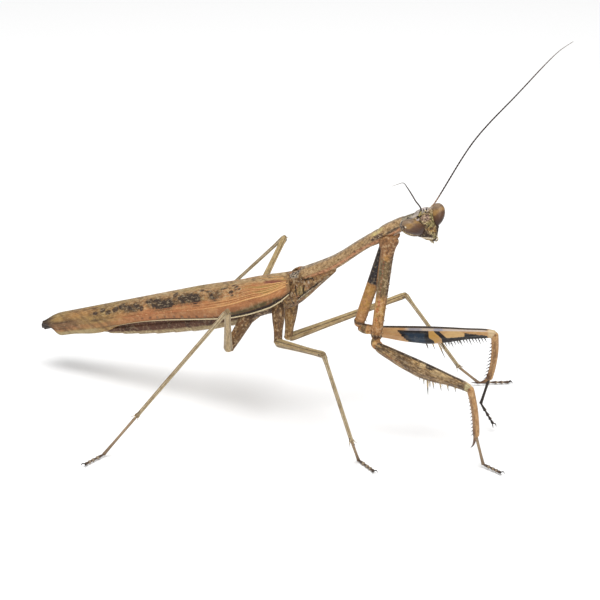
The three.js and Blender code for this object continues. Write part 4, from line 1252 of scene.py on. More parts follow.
def fore_tibia_finish():
    f = Finish("fore_tibia")
    grain = f.noise(0.13, detail=4.0)
    streak = f.noise(0.25, f.along_limb(6.0, 3.0))
    tint = f.layers(
        "bb8e5c",
        ("94683f", streak.rise(0.5, 0.66) * 0.7),
        ("d2ae7e", streak.band(0.3, 0.42, 0.04) * 0.6),
        ("8a5e3c", f.back.fall(-0.9, -0.3) * f.share.rise(0.3, 0.9) * 0.7),
        ("4a3022", f.share.band(0.84, 1.15, 0.1) * f.back.fall(-0.3, 0.6) * 0.8),
        ("4c3024", f.share.rise(1.15, 1.55) * 0.9),
        ("221612", f.share.rise(1.6, 1.95)),
        ("6f4a30", f.patch(0.03, 0.2, 0.02, 0.6, 0.5, grain) * 0.6),
        ("5a3a26", f.side.size().rise(0.82, 0.97) * f.share.rise(0.1, 0.3) * 0.45),
    )
    return f.close(f.mottled(tint, 0.28, 0.3), 0.35 + grain * 0.25, grain + streak * 0.5, 0.025)


def walking_leg_finish(name, tint, pale):
    f = Finish(name)
    grain, cloud = f.noise(0.13, detail=4.0), f.noise(1.6)
    streak = f.noise(0.3, f.along_limb(14.0, 5.0))
    lines = f.back.size().band(0.46, 0.68, 0.06)
    knee = f.patch(0.955, -0.1, 0.014, 0.4, 0.5, grain)
    tint = f.layers(
        tint,
        ("806a44", cloud.rise(0.48, 0.68) * 0.55),
        (pale, streak.band(0.3, 0.44, 0.04) * 0.7),
        ("8a7148", streak.rise(0.54, 0.66) * 0.6),
        ("988858", f.back.rise(0.3, 0.9) * 0.3),
        ("46362a", lines * 0.75),
        ("2c2019", knee * 0.85),
        ("6f5a40", f.share.band(0.975, 1.2, 0.01) * 0.6),
        ("6c5640", f.share.fall(0.005, 0.02) * 0.6),
    )
    return f.close(f.mottled(tint, 0.22, 0.3), 0.4 + grain * 0.25, grain + streak * 0.5, 0.025)


def tarsus_finish(name, night):
    """The feet, of which the forelegs' are black on their inner faces."""
    f = Finish(name)
    grain = f.noise(0.12, detail=4.0)
    joint = (f.share - 1).rise(0.0, 0.01)
    pads = f.several([(1.36, 0, 0.05, 9), (1.6, 0, 0.04, 9), (1.78, 0, 0.035, 9)], 0.5)
    tint = f.layers(
        "a18a6e",
        ("7d6650", grain.rise(0.42, 0.65) * 0.7),
        ("5e4a3a", f.share.rise(0.35, 1.0) * 0.6),
        ("4a392e", joint * 0.85),
        ("a8967e", pads * joint * 0.7),
        ("1e1714", f.share.rise(2.0, 2.05)),
        ("1b1715", f.side.rise(-0.3, 0.4) * night),
    )
    return f.close(tint, 0.38 + grain * 0.25, grain, 0.015)


def spine_finish(name, root, tip):
    f = Finish(name)
    grain = f.noise(0.1)
    tint = f.layers(root, (tip, (f.share + grain * 0.2).rise(0.4, 0.85)))
    return f.close(tint, 0.25 + grain * 0.2, grain, 0.004)


HEAD_FINISH = head_finish()
EYE_FINISH = eye_finish()
ANTENNA_FINISHES = {side: antenna_finish(side) for side in SIDES}
MOUTH_FINISH = mouth_finish()
PRONOTUM_FINISH = pronotum_finish()
NECK_FINISH = neck_finish()
THORAX_FINISH = thorax_finish()
WALKING_COXA_FINISH = walking_coxa_finish()
ABDOMEN_FINISH = abdomen_finish()
CERCUS_FINISH = cercus_finish()
TEGMEN_FINISH = tegmen_finish()
RIDGE_FINISH = ridge_finish()
VEIN_FINISH = vein_finish()
WING_RIM_FINISH = wing_rim_finish()
HINDWING_FINISH = hindwing_finish()
COXA_FINISH = fore_coxa_finish()
FEMUR_FINISH = fore_femur_finish()
TIBIA_FINISH = fore_tibia_finish()
LEG_FINISH = walking_leg_finish("walking_femur", "ad9266", "cbb48a")
SHIN_FINISH = walking_leg_finish("walking_tibia", "b9a482", "d6c7a8")
TARSUS_FINISH = tarsus_finish("tarsus", 0.0)
FORE_TARSUS_FINISH = tarsus_finish("fore_tarsus", 0.95)
SPINE_FINISH = spine_finish("spine", "c4ab80", "1c1412")
DARK_SPINE_FINISH = spine_finish("dark_spine", "2a211d", "15100f")


# ---- head ----
def local_eye(side):
    """The three directions of an eye's own frame: forward, outward from the head, and along its height."""
    return HEAD_FRAME @ np.array(Euler((-SIDES[side] * EYE_TILT, 0, 0)).to_matrix())


def eye_skin(side, grow=0.0, shift=0.0, around=72, steps=48):
    return egg(eye_centre(side, shift), EYE_RADII + grow, local_eye(side), around, steps)


def capsule_skin(around=96, steps=70):
    """The head capsule: a rounded triangle seen from the front, flat from front to back."""
    low, high = HEAD_ROWS[0][0], HEAD_ROWS[-1][0]
    shares, opened = tube_shares(high - low, 0.14, steps)
    height = between(shares, low, high)
    half, front, back = read_table(HEAD_ROWS, height).T
    middle, depth = (front + back) / 2, (front - back) / 2 * opened
    angle = np.linspace(0, 2 * math.pi, around, endpoint=False)[None, :]
    x = middle[:, None] + np.cos(angle) * depth[:, None]
    y = np.sin(angle) * (half * opened)[:, None]
    poles = head_point(middle[[0, -1]], 0, [low, high])
    points = np.vstack([head_point(x, y, height[:, None]).reshape(-1, 3), poles])
    return Skin(points, capped_rings(len(shares), around), np.zeros_like(points))


# The face, to the left of and above the head's centre: its plates' middle line, simple eyes and side grooves.
PLATES_MIDDLE = -0.12
PLATE_EDGE = 0.06
SIMPLE_EYES = [(-0.17, 1.0), (-0.4, 1.28), (0.08, 1.28)]
FACE_GROOVES = (-0.95, 0.75)


def face_relief(y, z):
    """The plates, sockets, grooves and simple eyes of the face, as heights."""
    across = np.abs(y - PLATES_MIDDLE)
    shield = eased((0.62 - across) / PLATE_EDGE) * eased((z + 0.6) / PLATE_EDGE)
    shield = shield * eased((-z + 0.1 + 0.15 * across) / PLATE_EDGE)
    lip_plate = eased((0.55 - across) / PLATE_EDGE) * eased((z + 1.35) / PLATE_EDGE)
    height = 0.045 * shield + 0.05 * (lip_plate * eased((-z - 0.75) / PLATE_EDGE))
    for socket_y, socket_z in SOCKETS.values():
        far = np.hypot(y - socket_y, z - socket_z)
        height = height + 0.07 * bump_at(far, 0.2, 0.09)
        height = height - 0.07 * eased(1 - far / 0.16)
    for spot_y, spot_z in SIMPLE_EYES:
        height = height + 0.07 * eased(1 - np.hypot(y - spot_y, z - spot_z) / 0.11)
    for groove in FACE_GROOVES:
        height = height - 0.03 * bump_at(y - 0.1 * z, groove, 0.07) * eased((z - 0.2) / 0.3)
    return height


def eye_reach(points, side):
    """How far points lie from an eye's middle, where 1 is the eye's surface."""
    local = (points - eye_centre(side)) @ local_eye(side)
    return np.linalg.norm(local / EYE_RADII, axis=1)


def make_head():
    rims = [eye_skin(side, RIM, RIM_SHIFT, 48, 32) for side in SIDES]
    skin, normals = blended([capsule_skin(), *rims], 0.045, 3)
    local = (skin.points - HEAD_CENTRE) @ HEAD_FRAME
    facing = normals @ HEAD_FRAME
    height = face_relief(local[:, 1], local[:, 2]) * eased(facing[:, 0] / 0.5)
    for side in SIDES:
        reach = eye_reach(skin.points, side)
        height = height + 0.04 * bump_at(reach, 1.12, 0.09) - 0.05 * bump_at(reach, 1.0, 0.06)
    skin.points = skin.points + normals * height[:, None]
    hollow = 0.18 * bump_at(local[:, 1], -0.75, 0.6) * eased((local[:, 2] - 0.95) / 0.3)
    skin.points = skin.points - hollow[:, None] * HEAD_FRAME[:, 2]
    skin.places = local
    skin_piece("head", skin, HEAD_FINISH, "head_shell")
    granules("head_granules", skin, HEAD_FINISH, "head_shell", 26, 0.022, 0.028, seed=4)


def eye_border(side, count=90):
    """Points round an eye where it leaves the raised rim of the head."""
    turn = local_eye(side)
    push = (eye_centre(side) - eye_centre(side, RIM_SHIFT)) @ turn / EYE_RADII
    pole = unit(push)
    first = unit(np.cross(pole, [0.3, 0.5, 0.8]))
    second = np.cross(pole, first)
    angle = np.linspace(0, 2 * math.pi, count)[:, None, None]
    tilt = np.linspace(0.3, 2.8, 400)[None, :, None]
    ring = first * np.cos(angle) + second * np.sin(angle)
    ball = pole * np.cos(tilt) + ring * np.sin(tilt)
    points = eye_centre(side) + (ball * EYE_RADII) @ turn.T
    inside = (points - eye_centre(side, RIM_SHIFT)) @ turn / (EYE_RADII + RIM)
    first_inside = np.argmax(np.linalg.norm(inside, axis=2) < 1, axis=1)
    border = points[np.arange(count), first_inside]
    out = (border - eye_centre(side)) @ HEAD_FRAME[:, 0]
    start = -int(np.argmax(out))
    return np.roll(border, start, axis=0)[np.roll(out, start) < -0.35]


def make_eyes():
    lines = []
    for side in SIDES:
        border = eye_border(side)
        lines.append((border, 0.045 * np.sin(np.linspace(0.15, math.pi - 0.15, len(border)))))
    ribs("eye_rims", lines, WING_RIM_FINISH, "head_shell")
    for side in SIDES:
        skin = eye_skin(side)
        skin.places = (skin.points - eye_centre(side)) @ HEAD_FRAME * [1, SIDES[side], 1]
        skin_piece(f"eye_{side}", skin, EYE_FINISH, "eye")


# The half thickness of each feeler, by share of its length.
FEELER_GIRTHS = {
    "right": [(0, 0.1), (0.02, 0.1), (0.035, 0.08), (0.3, 0.07), (0.7, 0.04), (1, 0.018)],
    "left": [(0, 0.1), (0.02, 0.1), (0.035, 0.08), (0.3, 0.08), (0.75, 0.065), (1, 0.02)],
}


def make_antennae():
    for side, points in ANTENNAE.items():
        path = Path(head_point(0.55, *SOCKETS[side]), head_point(*SCAPE_TIPS[side]), *points)
        shares = np.linspace(0, 1, 160)
        lines = [(path.at(shares), read_table(FEELER_GIRTHS[side], shares)[:, 0])]
        name = f"antenna_{side}"
        ribs(name, lines, ANTENNA_FINISHES[side], "antenna", name, joint=0.32, waist=0.3, step=0.04, sides=10)


def head_path(*places):
    return Path(*[head_point(*place) for place in places])


def make_mouthparts():
    lip = tube(
        head_path((0.5, 0, -1.45), (0.46, 0, -1.78), (0.34, 0, -2.1)),
        [(0, 0.4, 0.2), (0.5, 0.34, 0.16), (0.85, 0.24, 0.1), (1, 0.12, 0.06)],
        up=HEAD_FRAME[:, 0], blunt=0.08,
    )
    for y in SIDES.values():
        jaw = tube(
            head_path((0.42, y * 0.4, -1.3), (0.48, y * 0.32, -1.62), (0.46, y * 0.1, -2.0)),
            [(0, 0.28, 0.28), (0.5, 0.22, 0.22), (1, 0.08, 0.1)],
            up=HEAD_FRAME[:, 0], blunt=0.1,
        )
        lip = lip + jaw
    skin_piece("mouthparts", lip, MOUTH_FINISH, "mouthparts")
    lines = []
    for y in SIDES.values():
        jaw_palp = head_path(
            (0.34, y * 0.4, -1.5), (0.54, y * 0.44, -1.78), (0.6, y * 0.36, -2.02), (0.52, y * 0.16, -2.16)
        )
        lip_palp = head_path((0.2, y * 0.24, -1.7), (0.36, y * 0.28, -1.96), (0.46, y * 0.16, -2.16))
        for path, girth in ((jaw_palp, 0.08), (lip_palp, 0.07)):
            lines.append((path.at(np.linspace(0, 1, 40)), np.full(40, girth)))
    ribs("palps", lines, MOUTH_FINISH, "mouthparts", joint=0.36, waist=0.35, step=0.03, sides=10)


# ---- trunk ----
PRONOTUM_PATH = Path((-0.5, 0, 15.1), (3.3, 0, 17.05), (6.7, 0, 19.55), (9.1, 0, 21.13), (11.5, 0, 22.75))
PRONOTUM_RINGS = [
    (0, 0.7, 0.3), (0.02, 1.0, 0.55), (0.05, 1.08, 0.7), (0.2, 0.95, 0.7), (0.45, 0.8, 0.6),
    (0.62, 0.9, 0.58), (0.72, 1.3, 0.7), (0.8, 1.38, 0.74), (0.9, 1.15, 0.72), (0.97, 0.95, 0.62),
    (1, 0.6, 0.4),
]


def pronotum_relief(share, side, back):
    keel = 0.07 * eased(1 - np.abs(side) / 0.16) * (back > 0) * eased((0.7 - share) / 0.05)
    teeth = 0.5 + 0.5 * np.cos(2 * math.pi * share * PRONOTUM_PATH.length / 0.34)
    flange = (0.09 + 0.04 * teeth) * eased(1 - np.abs(back + 0.12) / 0.14)
    under = -0.07 * bump_at(back, -0.38, 0.2) * eased((0.98 - share) / 0.1)
    sulcus = -0.09 * bump_at(share, 0.765, 0.03) * eased((back + 0.1) / 0.2)
    swell = 0.05 * bump_at(share, 0.83, 0.09) * eased(back / 0.5)
    return keel + flange + under + sulcus + swell


def make_pronotum():
    skin = tube(PRONOTUM_PATH, PRONOTUM_RINGS, around=120, steps=300, blunt=0.2, relief=pronotum_relief)
    skin_piece("pronotum", skin, PRONOTUM_FINISH, "pronotum_shell")
    granules("pronotum_granules", skin, PRONOTUM_FINISH, "pronotum_shell", 5, 0.03, 0.035, seed=7)


def make_neck():
    path = Path((10.7, 0, 22.15), head_point(-0.45, 0, 0.3))
    skin = tube(
        path, [(0, 0.75, 0.6), (0.5, 0.9, 0.78), (1, 0.95, 0.85)], around=48, steps=80,
        relief=lambda share, side, back: 0.05 * np.sin(2 * math.pi * share * 7),
    )
    skin_piece("neck", skin, NECK_FINISH, "pronotum_shell")


THORAX_PATH = Path((3.4, 0, 16.35), (1.2, 0, 14.95), *body_point([0.5, 4, 8], 0, [-0.75, -1, -1.4]))


def body_place(points):
    """Each point by millimetres behind the wing roots, to the left, and above the body's axis."""
    return (points - WING_ROOT) @ BODY_FRAME


# The seams between the side plates of the thorax, by millimetres behind the wing roots and above the axis.
SIDE_SEAMS = [
    ((-3.4, 0.2), (-1.95, 0.3)), ((-1.95, -0.2), (-1.5, -1.15)), ((-3.3, -0.45), (-0.6, -1.62)),
    ((-1.0, -0.1), (-0.75, -1.5)), ((0.7, -0.2), (1.0, -1.9)), ((2.2, -0.5), (2.6, -2.1)),
    ((4, -0.6), (4.4, -2.2)), ((5.6, -0.6), (6, -2.2)),
]
FRONT_RIDGE = [(-4.7, 0.12), (-3.06, -0.66), (-1.53, -1.26), (-0.5, -1.78)]


def thorax_relief(points):
    """Grooves along the seams, each with a lifted edge beside it, and the folds between them."""
    behind, left, above = body_place(points).T
    height = 0.05 * np.array([noise.noise(Vector(point) / 0.45) for point in points])
    for start, end in SIDE_SEAMS:
        step = np.subtract(end, start)
        length = np.hypot(*step)
        along = ((behind - start[0]) * step[0] + (above - start[1]) * step[1]) / length
        off = ((above - start[1]) * step[0] - (behind - start[0]) * step[1]) / length
        within = eased((along + 0.1) / 0.2) * eased((length - along + 0.1) / 0.2)
        height = height - 0.11 * within * bump_at(off, 0, 0.16) + 0.06 * within * bump_at(off, 0.2, 0.14)
    return height * eased(np.abs(left) / 0.5)


def make_thorax():
    rings = [
        (0, 0.4, 0.25), (0.06, 0.65, 0.42), (0.2, 1.05, 0.85), (0.33, 1.4, 1.3),
        (0.45, 1.6, 1.65), (0.65, 1.65, 1.8), (0.85, 1.6, 1.75), (1, 1.4, 1.4),
    ]
    parts = [tube(THORAX_PATH, rings, around=96, steps=200)]
    parts.append(egg(body_point(-0.2, 0, 0.35), [2.3, 1.3, 0.82], FORWARD_FRAME, 40, 28))
    for y in SIDES.values():
        parts.append(egg(body_point(-0.75, y * 1.05, 0.6), [0.85, 0.5, 0.75], FORWARD_FRAME, 32, 24))
        parts.append(egg(body_point(0.1, y * 1.2, 0.1), [0.8, 0.35, 0.5], FORWARD_FRAME, 32, 24))
    skin, normals = blended(parts, 0.07, 2)
    skin.points = skin.points + normals * thorax_relief(skin.points)[:, None]
    skin.places = body_place(skin.points)
    skin_piece("thorax", skin, THORAX_FINISH, "thorax_shell")
    lines = [(on_flank(skin, FRONT_RIDGE, y), np.full(60, 0.055)) for y in SIDES.values()]
    ribs("thorax_ridges", lines, RIDGE_FINISH, "thorax_shell")


def on_flank(skin, line, side):
    """A line drawn on one flank, given by millimetres behind the wing roots and above the axis."""
    flat = Path(*[(behind, 0, above) for behind, above in line]).at(np.linspace(0, 1, 60))
    behind, left, above = body_place(skin.points).T
    depth = []
    for place in flat:
        near = (np.hypot(behind - place[0], above - place[2]) < 0.2) & (left * side > 0)
        depth.append(np.abs(left[near]).max() if near.any() else np.nan)
    depth = np.array(depth)
    known = ~np.isnan(depth)
    depth = np.interp(np.arange(60), np.flatnonzero(known), depth[known])
    depth = np.convolve(np.pad(depth, 4, mode="edge"), np.full(9, 1 / 9), mode="valid")
    return body_point(flat[:, 0], side * depth, flat[:, 2])


SEGMENTS = [0.0, 0.12, 0.25, 0.37, 0.49, 0.61, 0.72, 0.82, 0.91, 1.0]


def abdomen_relief(share, side, back):
    """Each ring rises towards the tail and drops where the next starts; a soft fold runs along each flank."""
    step = 0
    for front, rear in zip(SEGMENTS, SEGMENTS[1:]):
        within = (share - front) / (rear - front)
        step = step + np.where((within >= 0) & (within < 1), 0.09 * within * eased((1 - within) / 0.06), 0)
    return step - 0.12 * bump_at(back, 0.05, 0.14)


def make_abdomen():
    path = Path(*body_point([ABDOMEN_START, ABDOMEN_END], 0, -0.35))
    rings = [
        (0, 1.3, 1.2, -1.35), (0.04, 1.5, 1.45, -1.4), (0.2, 1.55, 1.45, -1.5), (0.5, 1.46, 1.4, -1.17),
        (0.72, 1.3, 1.15, -0.92), (0.88, 1.12, 0.82, -0.72), (0.96, 0.75, 0.5, -0.62), (1, 0.35, 0.26, -0.55),
    ]
    skin = tube(path, rings, around=96, steps=420, relief=abdomen_relief)
    skin_piece("abdomen", skin, ABDOMEN_FINISH, "abdomen_shell")


def make_cerci():
    shares = np.linspace(0, 1, 40)
    girth = read_table([(0, 0.24), (0.4, 0.26), (1, 0.12)], shares)[:, 0]
    for side, y in SIDES.items():
        behind = ABDOMEN_END + np.array([-1.2, 0.2, 1.6])
        path = Path(*body_point(behind, y * np.array([0.5, 0.7, 0.9]), [-0.65, -0.7, -0.7]))
        name, lines = f"cercus_{side}", [(path.at(shares), girth)]
        ribs(name, lines, CERCUS_FINISH, "cercus", name, joint=0.24, waist=0.22, step=0.03, sides=12)


# ---- wings ----
def tegmen_middle(side, share, across):
    """A point in the middle of a folded fore wing: 0 across is the costal edge and 1 the inner edge."""
    y = SIDES[side]
    open_up = eased(share / 0.16)
    close_up = eased((share - 0.93) / 0.07)
    low = between(eased(share / 0.11), 12, -21) + 9 * eased((share - 0.2) / 0.3) + close_up * 30
    high = between(open_up, 75, 112) - close_up * 40
    angle = np.radians(between(across, low, high))
    width = between(eased((share - 0.1) / 0.9), 2.15, 1.3) - 0.35 * eased((0.12 - share) / 0.12)
    height = between(share, 2.6, 1.45)
    under = 0.68 * eased((across - 0.3) / 0.25) * eased(share / 0.05) if side == "left" else 0
    bulge = 0.82
    left = y * (width - under) * np.sign(np.cos(angle)) * np.abs(np.cos(angle)) ** bulge
    above = (height - under) * np.sign(np.sin(angle)) * np.abs(np.sin(angle)) ** bulge - 1.35 + share
    above = above - 0.2 * eased((across - 0.4) / 0.3) * eased(share / 0.12) * (1 - eased((share - 0.2) / 0.2))
    return body_point(share * TEGMEN_LENGTH - 0.6, left, above)


def tegmen_layer(side, rise):
    """The surface that lies a rise outwards from the middle of a fore wing."""
    middle = lambda u, v: tegmen_middle(side, u, v)
    return lambda u, v: middle(u, v) + square_to(middle, u, v) * (SIDES[side] * rise)


# Where a fore wing's pale costal line lies across its surface, by share of the wing's length.
COSTAL_LINE = [
    (0, 0), (0.007, -0.038), (0.02, -0.055), (0.037, -0.028), (0.053, 0.031), (0.077, 0.082), (0.1, 0.103),
    (0.123, 0.084), (0.156, 0.056), (0.188, 0.039), (0.22, 0.027), (0.25, 0.018), (0.29, 0.021),
    (0.36, 0.031), (0.436, 0.047), (0.515, 0.071), (0.556, 0.081), (0.6, 0.086), (0.64, 0.084),
    (0.68, 0.077), (0.72, 0.072), (0.8, 0.09), (0.9, 0.1), (1, 0.1),
]


def costal_line(share):
    return read_table(COSTAL_LINE, np.ravel(share))[:, 0].reshape(np.shape(share))


def wing_edge(share):
    """Where a fore wing ends below: along the costal line, and beyond it towards the tail."""
    return (costal_line(share) - 0.006) * eased((0.745 - share) / 0.07) - 0.06 * bump_at(share, 0.79, 0.1)


# The long veins of a fore wing: their half thickness, and places along and across it.
WING_VEINS = [
    (0.085, [
        (0.012, 0.271), (0.023, 0.262), (0.053, 0.286), (0.09, 0.308), (0.127, 0.28), (0.166, 0.256),
        (0.207, 0.231), (0.247, 0.213), (0.327, 0.19), (0.426, 0.183), (0.506, 0.198), (0.66, 0.2),
    ]),
    (0.045, [
        (0.003, 0.36), (0.026, 0.342), (0.089, 0.371), (0.164, 0.325), (0.25, 0.29), (0.5, 0.27),
        (0.62, 0.27),
    ]),
    (0.05, [(0.012, 0.4), (0.045, 0.43), (0.1, 0.45), (0.18, 0.41), (0.27, 0.38)]),
    (0.05, [(0.012, 0.43), (0.035, 0.48), (0.085, 0.53), (0.15, 0.52), (0.21, 0.49)]),
    (0.03, [
        (0.02, 0.3), (0.06, 0.33), (0.13, 0.315), (0.24, 0.255), (0.36, 0.225), (0.55, 0.23), (0.7, 0.24),
    ]),
    (0.03, [(0.02, 0.37), (0.06, 0.4), (0.12, 0.41), (0.2, 0.36), (0.3, 0.33), (0.45, 0.31)]),
    (0.03, [(0.02, 0.45), (0.05, 0.49), (0.09, 0.57), (0.15, 0.6), (0.22, 0.6)]),
    (0.045, [(0.02, 0.6), (0.07, 0.7), (0.15, 0.8), (0.28, 0.88)]),
    (0.04, [(0.02, 0.66), (0.06, 0.78), (0.12, 0.88), (0.2, 0.94)]),
]
VEIN_END_GIRTH = 0.45  # of the girth at its root
WING_RIM_GIRTHS = [(0, 0.05), (0.05, 0.07), (0.25, 0.075), (0.6, 0.065), (1, 0.02)]
WING_RIM_SHARES = (0.008, 0.72)


def make_wing_veins(side):
    top = tegmen_layer(side, TEGMEN_RISE + TEGMEN_THICKNESS / 2)
    lines = []
    for girth, places in WING_VEINS:
        track = Path(*[(*place, 0) for place in places]).at(np.linspace(0, 1, 110))
        lines.append((top(track[:, 0], track[:, 1]), girth * np.linspace(1, VEIN_END_GIRTH, 110)))
    ribs(f"tegmen_veins_{side}", lines, VEIN_FINISH, "tegmen", step=0.15)
    shares = np.linspace(*WING_RIM_SHARES, 240)
    girth = read_table(WING_RIM_GIRTHS, np.linspace(0, 1, 240))[:, 0]
    ribs(f"tegmen_rim_{side}", [(top(shares, costal_line(shares)), girth)], WING_RIM_FINISH, "tegmen")


def wing_across(share, row):
    """Where a row of points lies across a fore wing, from its lower edge to its upper one."""
    narrow = eased((share - 0.92) / 0.08) ** 1.5
    return between(row, wing_edge(share) + 0.3 * narrow, 1 - 0.38 * narrow)


def make_tegmina():
    for side in SIDES:
        whole = tegmen_layer(side, TEGMEN_RISE)
        trimmed = lambda u, v: whole(u, wing_across(u, v))
        thickness = lambda u, v: TEGMEN_THICKNESS * (0.3 + 0.7 * eased(v / 0.04) * eased((1 - v) / 0.04))
        skin = plate(trimmed, thickness, 420, 72)
        share = skin.places[:, 0]
        skin.places[:, 1] = wing_across(share, skin.places[:, 1])
        skin.places[:, 2] = skin.places[:, 1] - costal_line(share)
        skin_piece(f"tegmen_{side}", skin, TEGMEN_FINISH, "tegmen")
        make_wing_veins(side)


def make_hindwings():
    for side, y in SIDES.items():
        height = -0.9 if side == "left" else -0.62

        def surface(u, v):
            taper = between(eased((u - 0.5) / 0.5), 1, 0.45)
            taper = taper * np.sqrt(np.clip(1 - ((u - 0.7).clip(0, 1) / 0.3) ** 2, 0.01, 1))
            left = y * between(v, 0.04, 0.04 + 0.91 * taper)
            behind = between(u, HINDWING_START, HINDWING_END)
            pleat = 0.06 * np.sin(v * 2 * math.pi * HINDWING_PLEATS)
            above = height + behind / TEGMEN_LENGTH + 0.2 * taper - 0.25 * v * v + pleat
            return body_point(behind, left, above)

        skin = plate(surface, lambda u, v: HINDWING_THICKNESS * np.ones_like(u), 120, 60)
        skin_piece(f"hindwing_{side}", skin, HINDWING_FINISH, "hindwing")


# ---- legs ----
def stretch(bone, before=0.0, after=0.0):
    return Path(bone.start - bone.along * before, bone.end + bone.along * after)


def away(vector, along):
    """The part of a direction that stands square to another."""
    return unit(vector - along * np.dot(vector, along))


def inner_sign(up, along, side):
    """1 where a tube's positive side faces the animal's middle."""
    across = np.cross(up, along)
    return 1 if across[1] * -SIDES[side] > 0 else -1


COXA_RINGS = {
    "fore": [
        (0, 0.4, 0.7, 0.25), (0.05, 0.6, 0.98, 0.02), (0.1, 0.64, 0.9, -0.12), (0.16, 0.62, 0.68, -0.01),
        (0.24, 0.6, 0.63), (0.35, 0.56, 0.62), (0.65, 0.52, 0.58), (0.93, 0.5, 0.55), (1, 0.4, 0.42),
    ],
    "mid": [
        (0, 0.6, 0.6), (0.15, 0.7, 0.72), (0.45, 0.6, 0.62), (0.7, 0.48, 0.46), (0.92, 0.44, 0.42),
        (1, 0.34, 0.34),
    ],
    "hind": [(0, 0.5, 0.5), (0.15, 0.72, 0.72), (0.6, 0.66, 0.62), (0.92, 0.5, 0.5), (1, 0.34, 0.34)],
}
COXA_ROOTS = {"fore": 0.9, "mid": 0.6, "hind": 0.6}  # how far each starts inside the body
COXA_TEETH = 13


def fore_coxa_relief(share, side, back):
    """Two low keels down the front and back edges, and a soft groove down the outer face."""
    front_keel = 0.06 * eased(1 - np.abs(side) / 0.25) * (back > 0)
    back_keel = 0.05 * eased(1 - np.abs(side) / 0.25) * (back < 0)
    groove = -0.05 * bump_at(back, 0.25, 0.3) * (side < 0) * eased(share / 0.1)
    ring = 0.06 * bump_at(share, 0.955, 0.02) - 0.05 * bump_at(share, 0.925, 0.015)
    return front_keel + back_keel + groove + ring


def walking_coxa_relief(share, side, back):
    return 0.05 * bump_at(share, 0.93, 0.04) - 0.05 * bump_at(side, 0.2, 0.25) * eased(share / 0.2)


def make_coxa(kind, side):
    bone = BONES[kind, side]["coxa"]
    relief, finish, slot = walking_coxa_relief, WALKING_COXA_FINISH, "thorax_shell"
    if kind == "fore":
        relief, finish, slot = fore_coxa_relief, COXA_FINISH, "fore_coxa"
    skin = tube(
        stretch(bone, COXA_ROOTS[kind], 0.25), COXA_RINGS[kind], up=FORWARD, around=64, steps=140,
        blunt=0.3, relief=relief, inner=inner_sign(FORWARD, bone.along, side),
    )
    skin_piece(f"{kind}_coxa_{side}", skin, finish, slot)


def make_coxa_teeth(side):
    """Small teeth down the front edge of a raptorial coxa."""
    bone = BONES["fore", side]["coxa"]
    front = away(FORWARD, bone.along)
    rows = []
    for number in range(COXA_TEETH):
        root = bone.at(0.14 + number * 0.065) + front * 0.52
        tip = root + front * (0.17 if number % 2 else 0.26) + bone.along * 0.1
        rows.append((root, tip, 0.07))
    spines(f"fore_coxa_teeth_{side}", rows, SPINE_FINISH, "fore_coxa")


def make_trochanter(side):
    trochanter, femur = bones_of("fore", side, "trochanter", "femur")
    path = Path(
        trochanter.start - UP * 0.1,
        trochanter.at(0.6) - UP * 0.12,
        trochanter.end + femur.along * 0.5,
    )
    rings = [(0, 0.3, 0.3), (0.15, 0.46, 0.46), (0.5, 0.52, 0.52), (0.85, 0.5, 0.48), (1, 0.35, 0.35)]
    skin = tube(path, rings, around=48, steps=60, blunt=0.2)
    skin_piece(f"fore_trochanter_{side}", skin, COXA_FINISH, "fore_coxa")


FORE_FEMUR_RINGS = [
    (0, 0.32, 0.4, -0.1), (0.04, 0.42, 0.55, -0.15), (0.15, 0.5, 0.72, -0.27), (0.3, 0.55, 0.92, -0.43),
    (0.45, 0.56, 1, -0.48), (0.6, 0.52, 0.88, -0.38), (0.78, 0.44, 0.6, -0.18), (0.92, 0.4, 0.48, -0.1),
    (1, 0.26, 0.32, -0.1),
]


def fore_femur_relief(share, side, back):
    """A keel along the back, and a groove between two spined edges that the tibia folds into."""
    keel = 0.06 * eased(1 - np.abs(side) / 0.3) * (back > 0)
    groove = -0.16 * eased(1 - np.abs(side) / 0.3) * (back < 0) * eased((share - 0.4) / 0.1)
    edges = 0.05 * bump_at(np.abs(side), 0.45, 0.2) * (back < 0) * eased((share - 0.35) / 0.1)
    ribs_along = 0.025 * np.cos(back * 9) * (np.abs(side) > 0.4)
    lobe = 0.07 * bump_at(share, 0.965, 0.03) * eased((-back + 0.3) / 0.5)
    return keel + groove + edges + ribs_along + lobe


def spined_edge(share):
    """How far the spined edge lies in front of the femur's middle line."""
    height, rise = read_table(FORE_FEMUR_RINGS, np.array([share]))[0][1:]
    return height - rise


def femur_frame(side):
    """A raptorial femur, and the directions away from its spined edge and towards the animal's middle."""
    femur, tibia = bones_of("fore", side, "femur", "tibia")
    back = away(-tibia.along, femur.along)
    inner = np.cross(back, femur.along) * inner_sign(back, femur.along, side)
    return femur, back, inner


# The spines of a raptorial femur: share of its length, length, lean towards its end, and place across.
INNER_SPINES = [(0.455, 0.5, 0.2, 0.2)]
INNER_SPINES += [(0.58 + number * 0.0248, 0.42 if number % 3 else 0.6, 0.28, 0.24) for number in range(15)]
OUTER_SPINES = [(0.62, 0.7), (0.7, 0.75), (0.78, 0.6), (0.86, 0.4)]
OUTER_SPINES = [(share, length, 0.25, -0.24) for share, length in OUTER_SPINES]
# The long ones hang straight down, each as share, length and place across.
# They lean by a share of their length.
LONG_SPINES = [(0.45, 0.55, 0.1), (0.5, 0.75, 0.05), (0.545, 1.7, 0), (0.575, 0.8, -0.05)]
LONG_SPINE_LEAN = {"right": 0.08, "left": 0.48}


